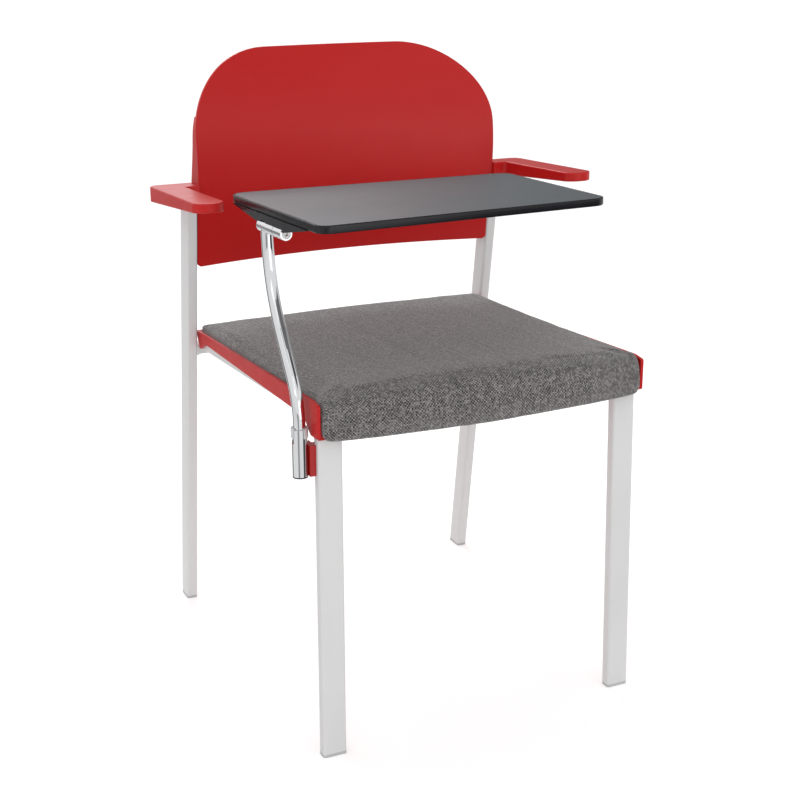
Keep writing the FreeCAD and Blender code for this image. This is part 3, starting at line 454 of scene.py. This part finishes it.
def screw_seats(node, axis, head_high):
    """Where the head of every screw in a CAD node sits, and its direction: axis points from head to tip."""
    work = bmesh.new()
    work.from_mesh(nodes[node].data)
    bmesh.ops.remove_doubles(work, verts=work.verts, dist=1e-6)
    left = set(work.verts)
    seats = []
    while left:
        group = [left.pop()]
        for vert in group:
            for edge in vert.link_edges:
                other = edge.other_vert(vert)
                if other in left:
                    left.discard(other)
                    group.append(other)
        way = Vector(axis(group[0].co)).normalized()
        reach = [vert.co.dot(way) for vert in group]
        cap = [vert.co for vert, along in zip(group, reach) if along < min(reach) + 1e-5]
        middle = Vector([(min(c[k] for c in cap) + max(c[k] for c in cap)) / 2 for k in range(3)])
        seats.append((middle + way * head_high, way))
    work.free()
    return seats


def tree_with_inputs(name, *inputs):
    """A geometry node tree with a geometry in and out, and a named input for each (name, socket type)."""
    tree = bpy.data.node_groups.new(name, "GeometryNodeTree")
    tree.interface.new_socket("Geometry", in_out="INPUT", socket_type="NodeSocketGeometry")
    for label, kind in inputs:
        tree.interface.new_socket(label, in_out="INPUT", socket_type=kind)
    tree.interface.new_socket("Geometry", in_out="OUTPUT", socket_type="NodeSocketGeometry")
    return tree, put(tree, "NodeGroupInput")


def close_tree(tree, geometry, material_socket):
    """Ends a tree in Realize Instances and Set Material."""
    real = get(tree, "GeometryNodeRealizeInstances", {0: geometry})
    done = get(tree, "GeometryNodeSetMaterial", {"Geometry": real, "Material": material_socket})
    put(tree, "NodeGroupOutput", {0: done})


def run_tree(piece, tree, **values):
    """Adds the tree as a modifier, sets its inputs by identifier and turns the result into a plain mesh."""
    modifier = piece.modifiers.new("shape", "NODES")
    modifier.node_group = tree
    for item in tree.interface.items_tree:
        if item.in_out == "INPUT" and item.name.replace(" ", "_").lower() in values:
            modifier[item.identifier] = values[item.name.replace(" ", "_").lower()]
    return plain_result(piece, piece.name)


# Operators, one for each group of like pieces

class CHAIR_OT_frame(bpy.types.Operator):
    """Powder coat on the tubes and grey plastic on the glides"""
    bl_idname = "chair.frame"
    bl_label = "Tube frame"

    def execute(self, context):
        colours = context.scene.chair_colours
        coat = powder_coat(colours.frame_paint)
        paint(coat, "front_leg_left", "front_leg_right", "rear_leg_left", "rear_leg_right",
              "seat_rail_left", "seat_rail_right", "front_cross_rail", "rear_cross_rail")
        paint(foot_plastic(colours.foot_grey), "front_glide_left", "front_glide_right",
              "rear_glide_left", "rear_glide_right", "upper_bush", "lower_bush")
        return {"FINISHED"}


class CHAIR_OT_shells(bpy.types.Operator):
    """Moulded red plastic on the seat shell, back and arms"""
    bl_idname = "chair.shells"
    bl_label = "Red shells and arms"

    def execute(self, context):
        colours = context.scene.chair_colours
        paint(moulded_red(colours.shell_red), "seat_shell", "back_shell", "armrest_left", "armrest_right")
        paint(bracket_enamel(colours.shell_red), "tablet_bracket")
        paint(plywood(), "seat_board")
        return {"FINISHED"}


def weave_map(mesh, low, high):
    """Lays the cloth's own map on the pad, in metres: over the top, down the nose and down the sides."""
    layer = mesh.uv_layers.new(name="weave")
    lead, side_normal, under_normal = 0.004, 0.72, -0.6
    nose_y = low.y + NOSE_RADIUS + lead
    slope = math.tan(math.radians(SEAT_SLOPE))
    for face in mesh.polygons:
        normal = face.normal
        on_side = abs(normal.x) > side_normal
        for corner in face.loop_indices:
            point = mesh.vertices[mesh.loops[corner].vertex_index].co
            top = high.z - (point.y - low.y) * slope
            u, v = point.x, point.y
            if on_side:
                u = math.copysign(abs(point.x) + max(0.0, top - point.z), point.x)
            elif normal.z > under_normal and point.y < nose_y:
                centre_z = top - NOSE_RADIUS
                turn = math.atan2(nose_y - point.y, max(1e-6, point.z - centre_z))
                v = nose_y - NOSE_RADIUS * min(turn, math.pi / 2) - max(0.0, centre_z - point.z)
            layer.data[corner].uv = (u, v)


def even_pad(voxel):
    """The CAD pad as an even mesh that lies on the CAD pad's own surface."""
    form = merged_copy("seat_cushion", "pad_form")
    pad = make_object("seat_pad", form.data.copy())
    remesh = pad.modifiers.new("even", "REMESH")
    remesh.mode = "VOXEL"
    remesh.voxel_size = voxel
    wrap = pad.modifiers.new("back_on_form", "SHRINKWRAP")
    wrap.target = form
    wrap.wrap_method = "NEAREST_SURFACEPOINT"
    pad = plain_result(pad, "seat_pad")
    bpy.data.objects.remove(form)
    return pad


def points_of(mesh, what="co"):
    """One row of three numbers for every vertex."""
    flat = np.empty(len(mesh.vertices) * 3)
    mesh.vertices.foreach_get(what, flat)
    return flat.reshape(-1, 3)


def blow_up(pad, steps):
    """Cloth with pressure inside, without gravity; points of the group 'held' stay."""
    cloth = pad.modifiers.new("swell", "CLOTH")
    cloth.settings.quality = 5
    cloth.settings.mass = 0.3
    cloth.settings.use_pressure = True
    cloth.settings.uniform_pressure_force = 4.0
    cloth.settings.tension_stiffness = 25.0
    cloth.settings.compression_stiffness = 25.0
    cloth.settings.bending_stiffness = 3.0
    cloth.settings.vertex_group_mass = "held"
    cloth.settings.effector_weights.gravity = 0.0
    cloth.collision_settings.use_collision = False
    for step in range(1, steps + 1):
        bpy.context.scene.frame_set(step)
    pad = plain_result(pad, "seat_pad")
    bpy.context.scene.frame_set(1)
    return pad


class CHAIR_OT_seat_pad(bpy.types.Operator):
    """The padded seat: the CAD pad's shape, blown up as cloth and covered in a speckled weave"""
    bl_idname = "chair.seat_pad"
    bl_label = "Seat pad"

    def execute(self, context):
        sizes, colours = context.scene.chair_sizes, context.scene.chair_colours
        pad = even_pad(sizes.pad_voxel)
        start, normals = points_of(pad.data), points_of(pad.data, "normal")
        faces_down, faces_back = normals[:, 2] < -0.35, normals[:, 1] > 0.8
        fixed = faces_down | faces_back
        start[~fixed] -= normals[~fixed] * sizes.pad_draw_in
        pad.data.vertices.foreach_set("co", start.ravel())
        held = pad.vertex_groups.new(name="held")
        held.add([int(index) for index in np.flatnonzero(fixed)], 1.0, "REPLACE")
        pad = blow_up(pad, CLOTH_STEPS)
        move = points_of(pad.data) - start
        far = np.linalg.norm(move, axis=1, keepdims=True)
        move *= np.minimum(1.0, sizes.pad_swell / np.maximum(far, 1e-9))
        move[fixed] = 0.0
        place = start + move
        side_room = 0.0002
        place[:, 0] = np.clip(place[:, 0], PAD_LOW.x + side_room, PAD_HIGH.x - side_room)
        pad.data.vertices.foreach_set("co", place.ravel())
        pad.data.update()
        soften = pad.modifiers.new("soften", "SMOOTH")
        soften.factor = 0.5
        soften.iterations = 1
        finer = pad.modifiers.new("finer", "SUBSURF")
        finer.levels = finer.render_levels = 1
        pad = plain_result(pad, "seat_pad")
        pad.data.polygons.foreach_set("use_smooth", [True] * len(pad.data.polygons))
        weave_map(pad.data, PAD_LOW, PAD_HIGH)
        pad.data.materials.clear()
        pad.data.materials.append(seat_cloth(colours, sizes.thread_pitch))
        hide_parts("seat_cushion")
        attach(pad, "chair")
        return {"FINISHED"}


def edge_band_tree():
    """Sweeps a rounded strip along the tablet's outline, whose corners its 'corner' attribute rounds."""
    tree, given = tree_with_inputs(
        "tablet_edge_band", ("Wide", "NodeSocketFloat"), ("High", "NodeSocketFloat"),
        ("Round", "NodeSocketFloat"), ("Tilt", "NodeSocketFloat"), ("Place", "NodeSocketVector"),
        ("Material", "NodeSocketMaterial"))
    corner = get(tree, "GeometryNodeInputNamedAttribute", {0: "corner"}, data_type="FLOAT")
    path = get(tree, "GeometryNodeMeshToCurve", {0: given.outputs["Geometry"]})
    path = get(tree, "GeometryNodeFilletCurve", {"Curve": path, "Count": 14, "Radius": corner},
               mode="POLY")
    path = get(tree, "GeometryNodeSetCurveNormal", {0: path}, mode="Z_UP")
    strip = get(tree, "GeometryNodeCurvePrimitiveQuadrilateral",
                {"Width": given.outputs["Wide"], "Height": given.outputs["High"]}, mode="RECTANGLE")
    strip = get(tree, "GeometryNodeFilletCurve",
                {"Curve": strip, "Count": 4, "Radius": given.outputs["Round"]}, mode="POLY")
    swept = get(tree, "GeometryNodeCurveToMesh", {"Curve": path, "Profile Curve": strip})
    turn = get(tree, "ShaderNodeCombineXYZ", {0: given.outputs["Tilt"]})
    placed = get(tree, "GeometryNodeTransform",
                 {"Geometry": swept, "Translation": given.outputs["Place"], "Rotation": turn})
    smooth = get(tree, "GeometryNodeSetShadeSmooth", {"Geometry": placed, "Shade Smooth": True})
    close_tree(tree, smooth, given.outputs["Material"])
    return tree


class CHAIR_OT_tablet(bpy.types.Operator):
    """The writing tablet: laminate, core, casing and the band swept round its edge"""
    bl_idname = "chair.tablet"
    bl_label = "Writing tablet"

    def execute(self, context):
        sizes, colours = context.scene.chair_sizes, context.scene.chair_colours
        paint(pressed_laminate(colours.laminate_grey), "tablet_laminate")
        paint(backing_sheet(colours.backing_grey), "tablet_core")
        trim = trim_plastic(colours.trim_black)
        paint(trim, "tablet_casing", "hinge_washer", "sleeve_cap")
        half = sizes.band_wide / 2
        left, right = TABLET_LEFT + half, TABLET_LEFT + sizes.tablet_long - half
        taper = (TABLET_HALF_LEFT - TABLET_HALF_RIGHT) / sizes.tablet_long
        half_left = TABLET_HALF_LEFT - taper * half - half
        half_right = TABLET_HALF_RIGHT + taper * half - half
        level = TABLET_TOP - sizes.band_high / 2
        path = bpy.data.meshes.new("tablet_band")
        corners = [(left, TABLET_MIDDLE + half_left, level), (left, TABLET_MIDDLE - half_left, level),
                   (right - TABLET_RAKE, TABLET_MIDDLE - half_right, level),
                   (right + TABLET_RAKE, TABLET_MIDDLE + half_right, level)]
        path.from_pydata(corners, [(0, 1), (1, 2), (2, 3), (3, 0)], [])
        rounds = path.attributes.new("corner", "FLOAT", "POINT")
        rounds.data.foreach_set("value", [TABLET_CORNER - half, TABLET_NEAR_CORNER - half,
                                          TABLET_CORNER - half, TABLET_CORNER - half])
        band = run_tree(make_object("tablet_band", path), edge_band_tree(), wide=sizes.band_wide,
                        high=sizes.band_high, round=sizes.band_round, tilt=-HINGE_TILT,
                        place=HINGE_POINT, material=trim)
        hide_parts("tablet_edge_band")
        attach(band, "tablet")
        return {"FINISHED"}


class CHAIR_OT_post(bpy.types.Operator):
    """Chrome on the tablet's post, its sleeve and the hinge"""
    bl_idname = "chair.post"
    bl_label = "Chromed post"

    def execute(self, context):
        colours = context.scene.chair_colours
        paint(polished_chrome(colours.chrome), "tablet_post", "pivot_sleeve", "hinge_knuckle")
        paint(foot_plastic(colours.collar_grey), "sleeve_collar")
        paint(zinc_plate(colours.zinc), "swivel_stop_pin", "hinge_pin")
        return {"FINISHED"}


def cylinder(tree, sides, radius, deep, middle):
    """An upright cylinder whose middle is at that height."""
    round_block = put(tree, "GeometryNodeMeshCylinder", {"Vertices": sides, "Radius": radius, "Depth": deep})
    place = get(tree, "ShaderNodeCombineXYZ", {2: middle})
    return get(tree, "GeometryNodeTransform",
               {"Geometry": round_block.outputs["Mesh"], "Translation": place})


def screw_tree():
    """A screw with a chamfered head and a six-sided socket on every point, along the point's 'way'."""
    tree, given = tree_with_inputs(
        "socket_screws", ("Head", "NodeSocketFloat"), ("Head High", "NodeSocketFloat"),
        ("Shank", "NodeSocketFloat"), ("Shank Long", "NodeSocketFloat"), ("Socket", "NodeSocketFloat"),
        ("Material", "NodeSocketMaterial"))
    head_high = given.outputs["Head High"]
    chamfer, top_share, key_share = 0.22, 0.86, 1.2
    plain_high = calc(tree, "MULTIPLY", head_high, 1.0 - chamfer)
    block = cylinder(tree, 28, given.outputs["Head"], plain_high, calc(tree, "MULTIPLY", plain_high, -0.5))
    normal = split(tree, get(tree, "GeometryNodeInputNormal"))[2]
    outer = get(tree, "FunctionNodeCompare", {0: normal, 1: -0.9}, data_type="FLOAT",
                operation="LESS_THAN")
    raise_by = calc(tree, "MULTIPLY", head_high, chamfer)
    raised = put(tree, "GeometryNodeExtrudeMesh",
                 {"Mesh": block, "Selection": outer, "Offset Scale": raise_by, "Individual": False},
                 mode="FACES")
    mesh, top = raised.outputs["Mesh"], raised.outputs["Top"]
    drawn = get(tree, "GeometryNodeScaleElements",
                {"Geometry": mesh, "Selection": top, "Scale": top_share})
    key_deep = calc(tree, "MULTIPLY", head_high, key_share)
    key = cylinder(tree, 6, given.outputs["Socket"], key_deep, calc(tree, "MULTIPLY", head_high, -1.0))
    cut = get(tree, "GeometryNodeMeshBoolean", {0: drawn, 1: key}, operation="DIFFERENCE")
    shank_long = given.outputs["Shank Long"]
    shank = cylinder(tree, 20, given.outputs["Shank"], shank_long, calc(tree, "MULTIPLY", shank_long, 0.5))
    whole = put(tree, "GeometryNodeJoinGeometry")
    tree.links.new(cut, whole.inputs[0])
    tree.links.new(shank, whole.inputs[0])
    way = get(tree, "GeometryNodeInputNamedAttribute", {0: "way"}, data_type="FLOAT_VECTOR")
    turn = get(tree, "FunctionNodeAlignRotationToVector", {"Vector": way}, axis="Z")
    points = given.outputs["Geometry"]
    placed = get(tree, "GeometryNodeInstanceOnPoints",
                 {"Points": points, "Instance": whole.outputs[0], "Rotation": turn})
    close_tree(tree, placed, given.outputs["Material"])
    return tree


class CHAIR_OT_screws(bpy.types.Operator):
    """Socket screws in the seat, the back, the arms, the bracket and the tablet"""
    bl_idname = "chair.screws"
    bl_label = "Screws"

    def execute(self, context):
        zinc, tree = zinc_plate(context.scene.chair_colours.zinc), screw_tree()
        slope = math.radians(RAIL_SLOPE)
        rise = (0, math.sin(slope), math.cos(slope))
        lift = (0, math.sin(HINGE_TILT), math.cos(HINGE_TILT))
        # Node, body, way from head to tip, size of head and shank, length of shank in metres
        sets = (
            ("seat_screws", "chair", lambda at: rise, LARGE_SCREW, 0.0205),
            ("back_screws", "chair", lambda at: (-1 if at.x < 0 else 1, 0, 0), LARGE_SCREW, 0.0130),
            ("arm_screws", "chair", lambda at: (-1 if at.x < 0 else 1, 0, 0), LARGE_SCREW, 0.0140),
            ("bracket_bolts", "chair", lambda at: (0, -1, 0), LARGE_SCREW, 0.0090),
            ("casing_screws", "tablet", lambda at: lift, SMALL_SCREW, 0.0090),
        )
        for node, body, axis, (head, head_high, shank), long in sets:
            seats = screw_seats(node, axis, head_high)
            mesh = bpy.data.meshes.new(node + "_set")
            mesh.from_pydata([seat for seat, way in seats], [], [])
            ways = mesh.attributes.new("way", "FLOAT_VECTOR", "POINT")
            ways.data.foreach_set("vector", [part for seat, way in seats for part in way])
            piece = run_tree(make_object(node + "_set", mesh), tree, head=head, head_high=head_high,
                             shank=shank, shank_long=long, socket=head * SOCKET_SHARE, material=zinc)
            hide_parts(node)
            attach(piece, body)
        return {"FINISHED"}


def weld_tree():
    """A rippled bead along every path; its radius rises and falls once in each pitch."""
    tree, given = tree_with_inputs(
        "weld_beads", ("Wide", "NodeSocketFloat"), ("Pitch", "NodeSocketFloat"),
        ("Material", "NodeSocketMaterial"))
    corner, ripple_share = 0.0024, 0.10
    path = get(tree, "GeometryNodeMeshToCurve", {0: given.outputs["Geometry"]})
    path = get(tree, "GeometryNodeFilletCurve", {"Curve": path, "Count": 3, "Radius": corner},
               mode="POLY")
    step = calc(tree, "MULTIPLY", given.outputs["Pitch"], 0.25)
    path = get(tree, "GeometryNodeResampleCurve", {"Curve": path, "Length": step}, mode="LENGTH")
    along = put(tree, "GeometryNodeSplineParameter").outputs["Length"]
    turn = calc(tree, "MULTIPLY", calc(tree, "DIVIDE", along, given.outputs["Pitch"]), 2.0 * math.pi)
    ripple = calc(tree, "MULTIPLY", calc(tree, "SINE", turn), ripple_share)
    ripple = calc(tree, "ADD", ripple, 1.0 - ripple_share)
    radius = calc(tree, "MULTIPLY", ripple, calc(tree, "MULTIPLY", given.outputs["Wide"], 0.5))
    round_profile = get(tree, "GeometryNodeCurvePrimitiveCircle", {"Resolution": 8, "Radius": 1.0},
                        mode="RADIUS")
    bead = get(tree, "GeometryNodeCurveToMesh",
               {"Curve": path, "Profile Curve": round_profile, "Scale": radius})
    smooth = get(tree, "GeometryNodeSetShadeSmooth", {"Geometry": bead, "Shade Smooth": True})
    close_tree(tree, smooth, given.outputs["Material"])
    return tree


def weld_paths():
    """Corners of the rectangles along which the cross rails are welded to the frame, in metres."""
    loops, inset = [], 0.0004
    for node in ("front_cross_rail", "rear_cross_rail"):
        low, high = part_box(node)
        for x in (low[0] + inset, high[0] - inset):
            loops.append([(x, low[1], low[2]), (x, high[1], low[2]),
                          (x, high[1], high[2]), (x, low[1], high[2])])
    return loops


class CHAIR_OT_welds(bpy.types.Operator):
    """Weld beads round the ends of the cross rails"""
    bl_idname = "chair.welds"
    bl_label = "Welds"

    def execute(self, context):
        sizes = context.scene.chair_sizes
        loops = weld_paths()
        corners = [corner for loop in loops for corner in loop]
        edges = [(4 * turn + k, 4 * turn + (k + 1) % 4) for turn in range(len(loops)) for k in range(4)]
        mesh = bpy.data.meshes.new("weld_beads")
        mesh.from_pydata(corners, edges, [])
        beads = run_tree(make_object("weld_beads", mesh), weld_tree(), wide=sizes.weld_wide,
                         pitch=sizes.weld_pitch, material=bpy.data.materials["powder_coat"])
        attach(beads, "chair")
        return {"FINISHED"}


# The studio

def aim(place, target):
    """A matrix at place whose -Z looks at target."""
    turn = (Vector(target) - Vector(place)).to_track_quat("-Z", "Y").to_matrix().to_4x4()
    return Matrix.Translation(place) @ turn


def soft_light(name, place, target, wide, high, power):
    lamp = bpy.data.lights.new(name, "AREA")
    lamp.shape = "RECTANGLE"
    lamp.size, lamp.size_y, lamp.energy = wide, high, power
    holder = bpy.data.objects.new(name, lamp)
    holder.matrix_world = aim(place, target)
    bpy.context.scene.collection.objects.link(holder)


def between(tree, heading, start, stop, soft=2.0):
    """1 where the heading, in radians, lies between two angles in degrees, with soft ends."""
    low, high, edge = math.radians(start), math.radians(stop), math.radians(soft)
    rise = spread(tree, heading, low - edge, low + edge, 0.0, 1.0)
    return calc(tree, "MULTIPLY", rise, spread(tree, heading, high - edge, high + edge, 1.0, 0.0))


def dark_gaps(tree, x, y):
    """How bright the studio is at a heading, for what glossy surfaces mirror: 1, or less in a gap."""
    heading = calc(tree, "ARCTAN2", x, y)
    bright = 1.0
    for start, stop, dark in DARK_GAPS:
        gap = calc(tree, "MULTIPLY", between(tree, heading, start, stop), dark)
        bright = calc(tree, "MULTIPLY", bright, calc(tree, "SUBTRACT", 1.0, gap))
    return bright


def studio_world():
    """White to the camera; as a light it is brighter at the rear left than at the rear right."""
    world = bpy.data.worlds.new("studio")
    world.use_nodes = True
    tree = world.node_tree
    tree.nodes.clear()
    x, y, z = split(tree, put(tree, "ShaderNodeTexCoord").outputs["Generated"])
    heading = calc(tree, "ARCTAN2", x, y)
    low_sky = spread(tree, z, 0.60, 0.80, 1.0, 0.0)
    brighter, darker = (calc(tree, "MULTIPLY", between(tree, heading, start, stop, REAR_SOFT), share)
                        for start, stop, share in (REAR_LEFT, REAR_RIGHT))
    change = calc(tree, "MULTIPLY", low_sky, calc(tree, "SUBTRACT", brighter, darker))
    level = calc(tree, "ADD", SKY_LEVEL, change)
    seen = put(tree, "ShaderNodeLightPath")
    high_sky = calc(tree, "MULTIPLY", seen.outputs["Is Glossy Ray"], spread(tree, z, 0.42, 0.57, 0.0, 1.0))
    mirrored = calc(tree, "MULTIPLY", level, dark_gaps(tree, x, y))
    level = get(tree, "ShaderNodeMix", {0: high_sky, 2: level, 3: mirrored})
    strength = get(tree, "ShaderNodeMix", {0: seen.outputs["Is Camera Ray"], 2: level, 3: 1.0})
    back = put(tree, "ShaderNodeBackground", {"Color": (1.0, 1.0, 1.0, 1.0), "Strength": strength})
    put(tree, "ShaderNodeOutputWorld", {0: back.outputs[0]})
    return world


def floor_finish():
    """Pale matt floor: white to the camera, keeps shadows, and carries the dark gaps for glossy surfaces."""
    material, tree, shader, where = new_finish("pale_floor")
    seen = put(tree, "ShaderNodeLightPath")
    mottle = noise(tree, where, 3.0, 2.0)
    plain = blend_colour(tree, mottle, (0.88, 0.88, 0.88, 1.0), (0.90, 0.90, 0.90, 1.0))
    x, y, _ = split(tree, vec(tree, "SUBTRACT", where, GAPS_MIDDLE))
    mirrored = blend_colour(tree, 1.0, plain, grey(tree, dark_gaps(tree, x, y)), "MULTIPLY")
    tone = blend_colour(tree, seen.outputs["Is Glossy Ray"], plain, mirrored)
    feed(tree, shader, Base_Color=tone, Roughness=0.9, Specular_IOR_Level=0.0,
         Emission_Color=(1.0, 1.0, 1.0, 1.0),
         Emission_Strength=calc(tree, "MULTIPLY", seen.outputs["Is Camera Ray"], 0.28))
    return material


class CHAIR_OT_stage(bpy.types.Operator):
    """Floor, soft lights and the camera at the photograph's angle"""
    bl_idname = "chair.stage"
    bl_label = "Stage"

    def execute(self, context):
        scene, sizes = context.scene, context.scene.chair_sizes
        scene.view_settings.view_transform = "Standard"
        mesh = bpy.data.meshes.new("floor")
        corners = [(x * FLOOR_HALF, y * FLOOR_HALF, 0) for x, y in ((-1, -1), (1, -1), (1, 1), (-1, 1))]
        mesh.from_pydata(corners, [], [(0, 1, 2, 3)])
        floor = make_object("floor", mesh)
        mesh.materials.append(floor_finish())
        scene.world = studio_world()
        soft_light("key", *KEY_LIGHT, sizes.key_power)
        soft_light("fill", *FILL_LIGHT, sizes.fill_power)
        soft_light("rear", *REAR_LIGHT, sizes.rim_power)
        lens = bpy.data.cameras.new("photo_camera")
        lens.sensor_width = SENSOR_WIDE
        lens.sensor_fit = "HORIZONTAL"
        lens.lens = SENSOR_WIDE * FOCAL_PIXELS / PHOTO_PIXELS
        lens.clip_start, lens.clip_end = 0.05, 120.0
        camera = bpy.data.objects.new("photo_camera", lens)
        turn = (Matrix.Rotation(math.radians(-CAMERA_HEADING), 4, "Z")
                @ Matrix.Rotation(math.radians(90.0 - CAMERA_PITCH), 4, "X")
                @ Matrix.Rotation(math.radians(CAMERA_ROLL), 4, "Z"))
        camera.matrix_world = Matrix.Translation(CAMERA_PLACE) @ turn
        scene.collection.objects.link(camera)
        scene.camera = camera
        return {"FINISHED"}


class CHAIR_PT_panel(bpy.types.Panel):
    """Lists the chair's pieces"""
    bl_idname = "CHAIR_PT_panel"
    bl_label = "Writing tablet chair"
    bl_space_type = "VIEW_3D"
    bl_region_type = "UI"
    bl_category = "Chair"

    def draw(self, context):
        for group in (context.scene.chair_sizes, context.scene.chair_colours):
            for key in group.bl_rna.properties.keys():
                if key not in ("rna_type", "name"):
                    self.layout.prop(group, key)
        for operator in OPERATORS:
            self.layout.operator(operator.bl_idname)


OPERATORS = (CHAIR_OT_frame, CHAIR_OT_shells, CHAIR_OT_seat_pad, CHAIR_OT_tablet, CHAIR_OT_post,
             CHAIR_OT_screws, CHAIR_OT_welds, CHAIR_OT_stage)
CLASSES = (ChairSizes, ChairColours) + OPERATORS + (CHAIR_PT_panel,)


def register():
    for item in CLASSES:
        bpy.utils.register_class(item)
    bpy.types.Scene.chair_sizes = PointerProperty(type=ChairSizes)
    bpy.types.Scene.chair_colours = PointerProperty(type=ChairColours)


def unregister():
    del bpy.types.Scene.chair_colours
    del bpy.types.Scene.chair_sizes
    for item in reversed(CLASSES):
        bpy.utils.unregister_class(item)


def main():
    register()
    for operator in OPERATORS:
        group, name = operator.bl_idname.split(".")
        getattr(getattr(bpy.ops, group), name)()


if __name__ == "__main__":
    main()
